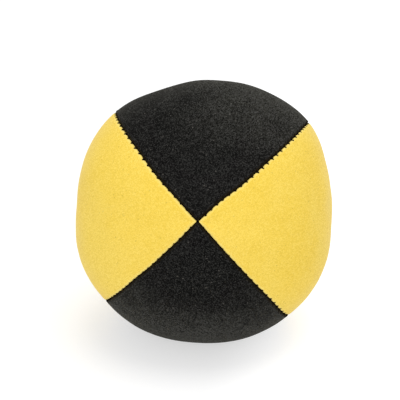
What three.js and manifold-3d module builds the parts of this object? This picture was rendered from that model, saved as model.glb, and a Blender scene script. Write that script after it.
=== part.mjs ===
// Bean bag juggling ball: four suede panels sewn inside out, turned, filled with millet and closed by hand.
// Millimetres, +Z up. The ball lies on the flat that its fill settles into, with the origin at that flat's
// centre. Each piece is worked out in the sewn ball's own frame, where Z runs through the two poles at which the
// panels meet. A polar angle counts from the front pole and an azimuth goes round it, both in radians.

import * as THREE from 'three';
import { mergeVertices } from 'three/addons/utils/BufferGeometryUtils.js';
import Module from 'manifold-3d';

const wasm = await Module();
wasm.setup();

// Driving dimensions: the ball's outside
const CROWN_RADIUS = 32.4; // centre to the middle of a panel, at the equator
const SEAM_RADIUS = 33.5; // centre to the crest of a seam, at the equator
const POLE_RADIUS = 32.4; // centre to a pole
const POLE_HOLE = 0.75; // radius of the pinhole where the panels' points meet
const REST_SAG = 1.8; // how far the loose fill lets the underside flatten
const REST_BLEND = 0.4; // height over which that flat runs out into the round
const LIE_TILT = 19.4; // degrees from level up to the front pole
const LIE_ROLL = -2.5; // degrees that the ball is turned about its poles

// Driving dimensions: suede and seams
const SUEDE = 0.9; // thickness
const BEND_INSIDE = 0.2; // inner radius of the suede's turn into a seam
const PLY_GAP = 0.3; // between the two panels' suede in a seam
const STITCH_BELOW_BEND = 0.6; // end of the turn to the line of stitches
const ALLOWANCE_BEYOND_STITCH = 2.3; // line of stitches to the cut edge of the suede

// Driving dimensions: threads and fill
const THREAD = 0.5; // machine thread, across
const STITCH_PITCH = 2.1;
const CLOSING_THREAD = 0.7; // hand-sewn thread, across
const CLOSING_PITCH = 3.2;
const CLOSING_LENGTH = 24; // of the opening that the ball is filled through
const KNOT_HEIGHT = 1.2;
const KNOT_LENGTH = 1;
const HOLE_CLEARANCE = 0.15; // thread to the edge of its needle hole, and to the suede beside it
const FILL_CLEARANCE = 0.4; // fill to the suede and thread round it

// Steps of the rounded forms
const STATIONS = 14; // of a panel, between the poles
const CROWN_STEPS = 8; // across a panel
const BEND_STEPS = 2; // round the turn into a seam
const FILL_STATIONS = 10; // of the fill, between the poles
const FILL_STEPS = 4; // of the fill, across a panel

// Colours
const BLACK = 0x2b2a28;
const YELLOW = 0xf6d65a;
const THREAD_BLACK = 0x14110e;
const MILLET = 0xd8b667;

// The panels in order round the ball, each followed by the seam on its far side
const PANELS = [
  { name: 'panel_right_yellow', colour: YELLOW, seam: 'seam_thread_upper_right' },
  { name: 'panel_top_black', colour: BLACK, seam: 'seam_thread_upper_left' },
  { name: 'panel_left_yellow', colour: YELLOW, seam: 'seam_thread_lower_left' },
  { name: 'panel_bottom_black', colour: BLACK, seam: 'seam_thread_lower_right' },
];
const CLOSED_SEAM = 'seam_thread_upper_right'; // its back end is the filling opening

// Sizes that follow from the driving dimensions
const HALF_PANEL = Math.PI / PANELS.length;
const HALF_GAP = PLY_GAP / 2;
const BEND = SUEDE + BEND_INSIDE; // outer radius of the suede's turn
const INNER_FACE = HALF_GAP + SUEDE; // seam's plane to the inner face of an allowance
const THREAD_REACH = INNER_FACE + HOLE_CLEARANCE + Math.max(THREAD, CLOSING_THREAD);
const REACH_SHARE = THREAD_REACH / (SEAM_RADIUS * HALF_PANEL);
const CREST_DROP = Math.max(SEAM_RADIUS - CROWN_RADIUS, 0) * (1 - (1 - REACH_SHARE) ** 2);
const STITCH_DEPTH = BEND + STITCH_BELOW_BEND + CREST_DROP; // below the seam's crest
const ALLOWANCE = STITCH_DEPTH + ALLOWANCE_BEYOND_STITCH; // depth of the cut edge below the seam's crest

// Attitude: the sewn frame is turned as the ball lies, and its centre stands above the flat
const ball = new THREE.Group();
ball.rotation.set(THREE.MathUtils.degToRad(90 - LIE_TILT), 0, THREE.MathUtils.degToRad(LIE_ROLL));
const DOWN = new THREE.Vector3(0, 0, -1).applyQuaternion(ball.quaternion.clone().invert());
const REST_HEIGHT = roundRadius(Math.acos(DOWN.z), Math.atan2(DOWN.y, DOWN.x)) - REST_SAG;
ball.position.z = REST_HEIGHT;

function direction(polar, azimuth) {
  const sine = Math.sin(polar);
  return new THREE.Vector3(sine * Math.cos(azimuth), sine * Math.sin(azimuth), Math.cos(polar));
}

// Centre to the full, unflattened surface, which swells from each panel's crown to its seams
function roundRadius(polar, azimuth) {
  const halves = azimuth / HALF_PANEL + 1;
  const across = halves - 2 * Math.floor(halves / 2) - 1;
  const equator = CROWN_RADIUS + (SEAM_RADIUS - CROWN_RADIUS) * across ** 2;
  return 1 / Math.hypot(Math.sin(polar) / equator, Math.cos(polar) / POLE_RADIUS);
}

// Centre to the surface at a depth inside the suede's face, flattened where the ball rests
function surfaceRadius(polar, azimuth, depth) {
  const round = roundRadius(polar, azimuth) - depth;
  const slope = direction(polar, azimuth).dot(DOWN);
  if (slope < 0.1) {
    return round;
  }
  const flat = (REST_HEIGHT - depth) / slope;
  const blend = Math.max(REST_BLEND - Math.abs(round - flat), 0);
  return Math.min(round, flat) - blend ** 2 / (4 * REST_BLEND);
}

function surfacePoint(polar, azimuth, depth) {
  return direction(polar, azimuth).multiplyScalar(surfaceRadius(polar, azimuth, depth));
}

// Point at a distance to one side of a seam's plane, at a depth inside the suede's face
function besideSeam(polar, seamAzimuth, side, distance, depth) {
  let azimuth = seamAzimuth;
  let radius = surfaceRadius(polar, azimuth, depth);
  for (let pass = 0; pass < 3; pass += 1) {
    radius = surfaceRadius(polar, azimuth, depth);
    azimuth = seamAzimuth + side * Math.asin(distance / (radius * Math.sin(polar)));
  }
  return direction(polar, azimuth).multiplyScalar(radius);
}

// Closed solid through a row of rings of equal count, with each end closed by a strip across its ring
function loft(rings) {
  const count = rings[0].length;
  const positions = rings.flat().flatMap((point) => [point.x, point.y, point.z]);
  const index = [];
  const quad = (a, b, c, d) => index.push(a, b, c, a, c, d);
  for (let ring = 0; ring + 1 < rings.length; ring += 1) {
    for (let i = 0; i < count; i += 1) {
      const next = (i + 1) % count;
      const base = ring * count;
      quad(base + i, base + next, base + count + next, base + count + i);
    }
  }
  const last = (rings.length - 1) * count;
  for (let i = 0; i + 1 < count / 2; i += 1) {
    const far = count - 1 - i;
    quad(i, far, far - 1, i + 1);
    quad(last + i, last + i + 1, last + far - 1, last + far);
  }
  const geometry = new THREE.BufferGeometry();
  geometry.setAttribute('position', new THREE.Float32BufferAttribute(positions, 3));
  geometry.setIndex(signedVolume(positions, index) < 0 ? index.reverse() : index);
  return geometry;
}

function signedVolume(positions, index) {
  const corner = (i) => new THREE.Vector3().fromArray(positions, 3 * index[i]);
  let volume = 0;
  for (let i = 0; i < index.length; i += 3) {
    volume += corner(i).dot(corner(i + 1).cross(corner(i + 2))) / 6;
  }
  return volume;
}

function toSolid(geometry) {
  const vertProperties = new Float32Array(geometry.attributes.position.array);
  const triVerts = new Uint32Array(geometry.index.array);
  return new wasm.Manifold(new wasm.Mesh({ numProp: 3, vertProperties, triVerts }));
}

// One geometry with every tool geometry cut out of it
function cut(geometry, tools) {
  const tool = wasm.Manifold.union(tools.map(toSolid));
  const mesh = toSolid(geometry).subtract(tool).getMesh();
  const result = new THREE.BufferGeometry();
  result.setAttribute('position', new THREE.Float32BufferAttribute(mesh.vertProperties, 3));
  result.setIndex(Array.from(mesh.triVerts));
  return result;
}

// Polar angles where a panel's point begins, where it is wide enough for the full turn of its suede, and
// where its two folded edges part to let the fill in. The room for the turn is FOLD_ROOM times its radius.
const FOLD_ROOM = 1.4;
const FOLD_WIDTH = (FOLD_ROOM * BEND + HALF_GAP) / Math.sin(HALF_PANEL);
const TIP_POLAR = Math.asin(POLE_HOLE / POLE_RADIUS);
const FOLD_POLAR = Math.max(Math.asin(FOLD_WIDTH / POLE_RADIUS), 1.5 * TIP_POLAR);
const OPEN_POLAR = FOLD_POLAR + SUEDE / POLE_RADIUS;
const SEWN_POLAR = OPEN_POLAR + (STITCH_PITCH / 2 + THREAD) / POLE_RADIUS;

function panelStations() {
  const front = [TIP_POLAR, FOLD_POLAR];
  const back = front.map((polar) => Math.PI - polar).reverse();
  const middle = [];
  for (let step = 0; step <= STATIONS; step += 1) {
    middle.push(OPEN_POLAR + ((Math.PI - 2 * OPEN_POLAR) * step) / STATIONS);
  }
  return [...front, ...middle, ...back];
}

// One face of a panel's suede at a station, from cut edge to cut edge: up an allowance, round the turn, over
// the crown and down the other side. The turn's radius is for that face, and all turns tighten near a pole.
function suedeFace(centre, polar, turnRadius, turn, rise) {
  const depthAt = (depth) => ALLOWANCE + rise * (depth - ALLOWANCE);
  const edge = (side) => {
    const seam = centre + side * HALF_PANEL;
    const points = [besideSeam(polar, seam, -side, HALF_GAP + turn - turnRadius, ALLOWANCE)];
    for (let step = 0; step <= BEND_STEPS; step += 1) {
      const angle = ((Math.PI / 2) * step) / BEND_STEPS;
      const distance = HALF_GAP + turn - turnRadius * Math.cos(angle);
      const depth = turn - turnRadius * Math.sin(angle);
      points.push(besideSeam(polar, seam, -side, distance, depthAt(depth)));
    }
    return points;
  };
  const first = edge(-1);
  const second = edge(1).reverse();
  const reach = second[0];
  const span = HALF_PANEL - Math.asin((HALF_GAP + turn) / Math.hypot(reach.x, reach.y));
  const crown = [];
  for (let step = 1; step < CROWN_STEPS; step += 1) {
    const azimuth = centre + span * ((2 * step) / CROWN_STEPS - 1);
    crown.push(surfacePoint(polar, azimuth, depthAt(turn - turnRadius)));
  }
  return [...first, ...crown, ...second];
}

// A panel's point is solid folded suede, and the rest is a skin with an allowance along each edge
const POINT_RISE = 0.06;

function panelSection(centre, polar) {
  const halfWidth = roundRadius(polar, centre) * Math.sin(polar) * Math.sin(HALF_PANEL);
  const fold = Math.min(1, (halfWidth - HALF_GAP) / (FOLD_ROOM * BEND));
  const folded = Math.min(polar, Math.PI - polar) < (FOLD_POLAR + OPEN_POLAR) / 2;
  const rise = folded ? POINT_RISE : 1;
  const outside = suedeFace(centre, polar, fold * BEND, fold * BEND, 1);
  const inside = suedeFace(centre, polar, fold * BEND_INSIDE, fold * BEND, rise);
  return { outside, inside };
}

// Polar angles of a row of stitches
function stitchAngles(from, to, pitch) {
  const count = Math.max(1, Math.round(((to - from) * (SEAM_RADIUS - STITCH_DEPTH)) / pitch));
  return Array.from({ length: count + 1 }, (_, i) => from + ((to - from) * i) / count);
}

// The frame of a stitch: its point in the seam's plane, and the ways across the seam, outward and along it
function stitchFrame(seamAzimuth, polar) {
  const point = surfacePoint(polar, seamAzimuth, STITCH_DEPTH);
  const across = new THREE.Vector3(-Math.sin(seamAzimuth), Math.cos(seamAzimuth), 0);
  const outward = point.clone().normalize();
  const along = new THREE.Vector3().crossVectors(across, outward);
  return { point, across, outward, along };
}

// Square thread along a path of corners, mitred. Its height is set at each corner and grows inward to a knot.
function sweepThread(path, width, heights) {
  const rings = path.map((corner, i) => {
    const before = path[Math.max(i - 1, 0)].point;
    const after = path[Math.min(i + 1, path.length - 1)].point;
    const arriving = new THREE.Vector3().subVectors(i > 0 ? corner.point : after, before).normalize();
    const leaving = new THREE.Vector3().subVectors(after, i + 1 < path.length ? corner.point : before);
    const left = new THREE.Vector3().crossVectors(corner.outward, arriving).normalize();
    const nextLeft = new THREE.Vector3().crossVectors(corner.outward, leaving).normalize();
    const mitre = left.clone().add(nextLeft).multiplyScalar(width / 2 / (1 + left.dot(nextLeft)));
    const top = width / 2;
    const low = top - heights[i];
    const at = (sideways, upward) =>
      corner.point.clone().addScaledVector(mitre, sideways).addScaledVector(corner.outward, upward);
    return [at(1, top), at(1, low), at(-1, low), at(-1, top)];
  });
  return loft(rings);
}

// Corners of a thread that crosses the seam at each stitch and runs to the next on alternate sides
function stitchPath(seamAzimuth, angles, width) {
  const reach = INNER_FACE + HOLE_CLEARANCE + width / 2;
  return angles.flatMap((polar, i) => {
    const { point, across, outward } = stitchFrame(seamAzimuth, polar);
    const side = i % 2 === 0 ? reach : -reach;
    return [side, -side].map((offset) => ({ point: point.clone().addScaledVector(across, offset), outward }));
  });
}

// Tail of the closing thread, which runs on beyond its first stitch and ends in a flat knot
function knotTail(corner, along) {
  const stops = [CLOSING_THREAD + KNOT_LENGTH, CLOSING_THREAD + 0.85 * KNOT_LENGTH];
  stops.push(CLOSING_THREAD + 0.15 * KNOT_LENGTH, CLOSING_THREAD);
  return stops.map((stop) => ({
    point: corner.point.clone().addScaledVector(along, stop),
    outward: corner.outward,
  }));
}

// Needle holes of a row of stitches, each a square that can be drawn at any distance across the seam
function needleHoles(seamAzimuth, angles, width) {
  const half = width / 2 + HOLE_CLEARANCE;
  const corners = [[1, 1], [1, -1], [-1, -1], [-1, 1]];
  return angles.map((polar) => {
    const { point, across, outward, along } = stitchFrame(seamAzimuth, polar);
    const corner = (offset, [a, b]) =>
      point
        .clone()
        .addScaledVector(across, offset)
        .addScaledVector(along, a * half)
        .addScaledVector(outward, b * half);
    return (offset) => corners.map((place) => corner(offset, place));
  });
}

// The stitches of every seam: machine stitches from pole to pole, or up to the filling opening
const CLOSING_START = Math.PI - SEWN_POLAR - CLOSING_LENGTH / SEAM_RADIUS;
const KNOT_ROOM = (2 * CLOSING_THREAD + KNOT_LENGTH + THREAD) / (SEAM_RADIUS - ALLOWANCE);

const seams = PANELS.map(({ seam }, i) => {
  const azimuth = (2 * i + 1) * HALF_PANEL;
  const closed = seam === CLOSED_SEAM;
  const end = closed ? CLOSING_START - KNOT_ROOM : Math.PI - SEWN_POLAR;
  const machine = stitchAngles(SEWN_POLAR, end, STITCH_PITCH);
  const hand = closed ? stitchAngles(CLOSING_START, Math.PI - SEWN_POLAR, CLOSING_PITCH) : [];
  const holes = [
    ...needleHoles(azimuth, machine, THREAD),
    ...needleHoles(azimuth, hand, CLOSING_THREAD),
  ];
  return { name: seam, azimuth, machine, hand, holes };
});

// Triangles between two rows of points, which both run from the front pole to the back
function zip(first, second) {
  const polar = ({ x, y, z }) => Math.atan2(Math.hypot(x, y), z);
  const faces = [];
  let [i, j] = [0, 0];
  while (i + 1 < first.length || j + 1 < second.length) {
    const firstLeft = i + 1 < first.length;
    const secondLeft = j + 1 < second.length;
    if (firstLeft && (!secondLeft || polar(first[i + 1]) <= polar(second[j + 1]))) {
      faces.push([first[i], first[i + 1], second[j]]);
      i += 1;
    } else {
      faces.push([first[i], second[j + 1], second[j]]);
      j += 1;
    }
  }
  return faces;
}

// Triangles of one face of an allowance, from its cut edge to its upper edge, pierced by a row of squares
function piercedFace(cutEdge, upperEdge, squares) {
  const lower = squares.flatMap(([, farLow, nearLow]) => [nearLow, farLow]);
  const upper = squares.flatMap(([farHigh, , , nearHigh]) => [nearHigh, farHigh]);
  const [first, last] = [cutEdge.at(0), cutEdge.at(-1)];
  const faces = [...zip(cutEdge, lower), ...zip([first, ...upper, last], upperEdge)];
  faces.push([first, lower.at(0), upper.at(0)], [lower.at(-1), last, upper.at(-1)]);
  for (let i = 1; i + 1 < lower.length; i += 2) {
    faces.push(...zip([lower[i], lower[i + 1]], [upper[i], upper[i + 1]]));
  }
  return faces;
}

// Triangles of one allowance of a panel: both its faces, and the walls of its needle holes
function allowanceFaces(sections, cutEdge, upperEdge, seam, side) {
  const row = (face, edge) => sections.map((section) => section[face][edge]);
  const outerHoles = seam.holes.map((square) => square(-side * HALF_GAP));
  const innerHoles = seam.holes.map((square) => square(-side * INNER_FACE));
  const walls = outerHoles.flatMap((outer, hole) =>
    outer.flatMap((corner, i) => {
      const next = (i + 1) % outer.length;
      const inner = innerHoles[hole];
      return [[inner[i], inner[next], outer[next]], [inner[i], outer[next], corner]];
    }),
  );
  const outside = piercedFace(row('outside', cutEdge), row('outside', upperEdge), outerHoles);
  const inside = piercedFace(row('inside', cutEdge), row('inside', upperEdge), innerHoles);
  const faces = [...outside, ...inside.map((face) => face.reverse()), ...walls];
  return side < 0 ? faces : faces.map((face) => face.reverse());
}

// A panel is put together face by face: the two sides of its skin, its cut edges, its ends and its allowances
function panelGeometry(i) {
  const sections = panelStations().map((polar) => panelSection(2 * i * HALF_PANEL, polar));
  const rim = sections[0].outside.length - 1;
  const end = sections.length - 1;
  const faces = [];
  const quad = (a, b, c, d) => faces.push([a, b, c], [a, c, d]);
  for (let k = 0; k < end; k += 1) {
    const [here, next] = [sections[k], sections[k + 1]];
    const point = k === 0 || k === end - 1;
    for (let j = point ? 0 : 1; j < (point ? rim : rim - 1); j += 1) {
      quad(here.outside[j], next.outside[j], next.outside[j + 1], here.outside[j + 1]);
      quad(here.inside[j], here.inside[j + 1], next.inside[j + 1], next.inside[j]);
    }
    quad(next.outside[0], here.outside[0], here.inside[0], next.inside[0]);
    quad(here.outside[rim], next.outside[rim], next.inside[rim], here.inside[rim]);
  }
  for (let j = 0; j < rim; j += 1) {
    const [front, back] = [sections[0], sections[end]];
    quad(front.outside[j], front.outside[j + 1], front.inside[j + 1], front.inside[j]);
    quad(back.outside[j + 1], back.outside[j], back.inside[j], back.inside[j + 1]);
  }
  const sewn = sections.slice(1, end);
  const before = seams[(i + seams.length - 1) % seams.length];
  faces.push(...allowanceFaces(sewn, 0, 1, before, -1));
  faces.push(...allowanceFaces(sewn, rim, rim - 1, seams[i], 1));
  const loose = new THREE.BufferGeometry().setFromPoints(faces.flat());
  return mergeVertices(loose);
}

function machineThread({ azimuth, machine }) {
  const path = stitchPath(azimuth, machine, THREAD);
  return sweepThread(path, THREAD, path.map(() => THREAD));
}

function closingThread({ azimuth, hand }) {
  const path = stitchPath(azimuth, hand, CLOSING_THREAD);
  const { along } = stitchFrame(azimuth, hand[0]);
  const forward = new THREE.Vector3().subVectors(path[2].point, path[1].point).dot(along) > 0;
  const tail = knotTail(path[0], along.clone().multiplyScalar(forward ? -1 : 1));
  const heights = [CLOSING_THREAD, KNOT_HEIGHT, KNOT_HEIGHT, CLOSING_THREAD];
  return sweepThread([...tail, ...path], CLOSING_THREAD, [...heights, ...path.map(() => CLOSING_THREAD)]);
}

// The fill swells into every panel and leaves a slot round the allowances and thread of each seam
function fillGeometry() {
  const depth = SUEDE + FILL_CLEARANCE;
  const around = PANELS.length * FILL_STEPS;
  const rings = [];
  for (let step = 0; step <= FILL_STATIONS; step += 1) {
    const polar = FOLD_POLAR + ((Math.PI - 2 * FOLD_POLAR) * step) / FILL_STATIONS;
    const azimuths = Array.from({ length: around }, (_, i) => (2 * Math.PI * (i + 0.5)) / around);
    rings.push(azimuths.map((azimuth) => surfacePoint(polar, azimuth, depth)));
  }
  return cut(loft(rings), seams.map(seamSlot));
}

function seamSlot({ azimuth }) {
  const half = THREAD_REACH + FILL_CLEARANCE;
  const across = new THREE.Vector3(-Math.sin(azimuth), Math.cos(azimuth), 0);
  const floor = ALLOWANCE + FILL_CLEARANCE;
  const rings = [];
  for (let step = -1; step <= FILL_STATIONS + 1; step += 1) {
    const polar = (Math.PI * step) / FILL_STATIONS;
    const low = direction(polar, azimuth).multiplyScalar(roundRadius(polar, azimuth) - floor);
    const high = direction(polar, azimuth).multiplyScalar(roundRadius(polar, azimuth) + floor);
    rings.push([
      low.clone().addScaledVector(across, -half),
      high.clone().addScaledVector(across, -half),
      high.clone().addScaledVector(across, half),
      low.clone().addScaledVector(across, half),
    ]);
  }
  return loft(rings);
}

function addPiece(name, geometry, colour, roughness) {
  geometry.computeVertexNormals();
  const material = new THREE.MeshStandardMaterial({ color: colour, roughness, metalness: 0 });
  const mesh = new THREE.Mesh(geometry, material);
  mesh.name = name;
  ball.add(mesh);
}

PANELS.forEach(({ name, colour }, i) => addPiece(name, panelGeometry(i), colour, 0.95));
seams.forEach((seam) => addPiece(seam.name, machineThread(seam), THREAD_BLACK, 0.8));
const closedSeam = seams.find(({ name }) => name === CLOSED_SEAM);
addPiece('closing_thread', closingThread(closedSeam), THREAD_BLACK, 0.8);
addPiece('fill', fillGeometry(), MILLET, 0.7);

const part = new THREE.Group();
part.add(ball);

export default part;
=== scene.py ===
"""Looks of a bean bag juggling ball: four suede panels, their stitching and the millet inside.

Sizes are in millimetres. Meshes are in metres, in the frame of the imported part: +Z up, the ball lying on the
flat that its fill settles into. The sewn frame has its Z axis through the two poles at which the panels meet.
A polar angle counts from the front pole and an azimuth goes round it, both in radians.
"""

import logging
import math
from dataclasses import dataclass
from enum import Enum
from functools import cached_property
from typing import Mapping, Optional, Sequence, Union

import bpy
import numpy as np
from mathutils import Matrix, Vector

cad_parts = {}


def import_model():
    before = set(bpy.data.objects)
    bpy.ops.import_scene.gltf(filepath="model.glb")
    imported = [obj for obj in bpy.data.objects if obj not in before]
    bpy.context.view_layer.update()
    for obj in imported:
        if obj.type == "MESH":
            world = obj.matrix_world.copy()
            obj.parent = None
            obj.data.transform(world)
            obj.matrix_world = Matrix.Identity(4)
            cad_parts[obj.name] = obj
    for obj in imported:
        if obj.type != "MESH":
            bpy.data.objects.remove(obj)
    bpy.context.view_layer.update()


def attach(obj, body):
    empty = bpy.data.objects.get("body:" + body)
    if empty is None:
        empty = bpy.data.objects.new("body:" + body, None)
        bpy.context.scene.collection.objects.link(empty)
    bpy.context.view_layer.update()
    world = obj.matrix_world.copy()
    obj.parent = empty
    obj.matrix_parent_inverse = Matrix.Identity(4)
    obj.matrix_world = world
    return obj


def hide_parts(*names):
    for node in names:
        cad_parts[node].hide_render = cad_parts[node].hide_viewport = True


LOG = logging.getLogger("juggling_ball")
MM = 0.001  # metres in a millimetre
FULL_TURN = 2 * math.pi
TINY = 1e-6  # keeps a divisor from being nothing
INWARD = (1, -1)  # the way from each of a panel's two seams to its middle
MIX_COLOURS = (6, 7)  # a Mix node's inputs for colours
MIX_RESULT = 2  # its output for them

Span = tuple[float, float]
Triple = tuple[float, float, float]
Colour = tuple[float, float, float]
Depth = Union[float, np.ndarray]
Sheet = tuple[np.ndarray, np.ndarray]  # azimuths and depths, stations by points across
Faces = list[tuple[int, ...]]
Inputs = Mapping[Union[str, int], object]


class Suede(Enum):
    """The two suedes that the panels are cut from, by material slot."""

    BLACK = "black_suede"
    YELLOW = "yellow_suede"


@dataclass(frozen=True)
class PanelCut:
    """One suede panel.

    Args:
        name: The piece's name.
        node: The CAD node that it stands for.
        suede: What it is cut from.
        radii_mm: Centre of the ball to the panel at the equator, a quarter, half and three quarters across.
    """

    name: str
    node: str
    suede: Suede
    radii_mm: Triple


@dataclass(frozen=True)
class SeamPlan:
    """One seam, on the far side of the panel of the same number.

    Args:
        name: The stitching's name.
        node: The CAD node of its thread.
        azimuth_deg: Where it runs round the poles.
        swing_deg: How far it strays from that at three places on its way from the front pole to the equator.
        corner_mm: Centre of the ball to its crest at the equator.
        first_mm: Pole to its first stitch, along the crest.
        pitch_mm: Between its machine stitches.
        tooth_shares: How far its stitches show at four places on the way from the front pole to the equator.
    """

    name: str
    node: str
    azimuth_deg: float
    swing_deg: Triple
    corner_mm: float
    first_mm: float
    pitch_mm: float
    tooth_shares: tuple[float, float, float, float]


PANELS = (
    PanelCut("suede_right_yellow", "panel_right_yellow", Suede.YELLOW, (33.07, 31.6, 32.15)),
    PanelCut("suede_top_black", "panel_top_black", Suede.BLACK, (33.42, 32.85, 32.25)),
    PanelCut("suede_left_yellow", "panel_left_yellow", Suede.YELLOW, (33.0, 32.02, 33.35)),
    PanelCut("suede_bottom_black", "panel_bottom_black", Suede.BLACK, (33.4, 32.85, 33.1)),
)
SEAMS = (
    SeamPlan(
        name="stitching_upper_right",
        node="seam_thread_upper_right",
        azimuth_deg=44.9,
        swing_deg=(2.5, -1.4, -0.7),
        corner_mm=34.1,
        first_mm=2.5,
        pitch_mm=1.89,
        tooth_shares=(0.5, 0.55, 1.45, 0.9),
    ),
    SeamPlan(
        name="stitching_upper_left",
        node="seam_thread_upper_left",
        azimuth_deg=135.4,
        swing_deg=(0.4, 1.2, 0.1),
        corner_mm=33.42,
        first_mm=1.65,
        pitch_mm=2.19,
        tooth_shares=(0.04, 0.48, 0.85, 0.7),
    ),
    SeamPlan(
        name="stitching_lower_left",
        node="seam_thread_lower_left",
        azimuth_deg=226.0,
        swing_deg=(4.0, 2.5, 1.0),
        corner_mm=33.4,
        first_mm=2.25,
        pitch_mm=1.975,
        tooth_shares=(0.35, 0.32, 0.15, 0.35),
    ),
    SeamPlan(
        name="stitching_lower_right",
        node="seam_thread_lower_right",
        azimuth_deg=312.5,
        swing_deg=(1.7, 1.8, 1.6),
        corner_mm=33.15,
        first_mm=1.95,
        pitch_mm=2.38,
        tooth_shares=(0.02, 0.22, 0.6, 0.75),
    ),
)
CLOSED_SEAM = 0  # its back end is the opening that the ball was filled through


def stack(*parts: np.ndarray) -> np.ndarray:
    """Coordinates side by side as points."""
    return np.stack(np.broadcast_arrays(*parts), axis=-1)


def smooth_step(low: float, high: float, value: np.ndarray) -> np.ndarray:
    """Rise from 0 at low to 1 at high, level at both ends."""
    share = np.clip((value - low) / (high - low), 0, 1)
    return share * share * (3 - 2 * share)


def smooth_line(corners: np.ndarray, spacing: float) -> np.ndarray:
    """A smooth line through a row of corners.

    Args:
        corners: The corners, one row of coordinates each.
        spacing: About how far apart the line's points are.

    Returns:
        The line's points.
    """
    padded = np.vstack([2 * corners[0] - corners[1], corners, 2 * corners[-1] - corners[-2]])
    pieces = []
    for before, start, end, after in zip(padded, padded[1:], padded[2:], padded[3:]):
        count = max(2, int(round(np.linalg.norm(end - start) / spacing)))
        t = (np.arange(count) / count)[:, None]
        pull = (end - before) / 2
        push = (after - start) / 2
        bend = 3 * (end - start) - 2 * pull - push
        close = pull + push - 2 * (end - start)
        pieces.append(start + pull * t + bend * t**2 + close * t**3)
    return np.vstack([*pieces, corners[-1:]])


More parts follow.
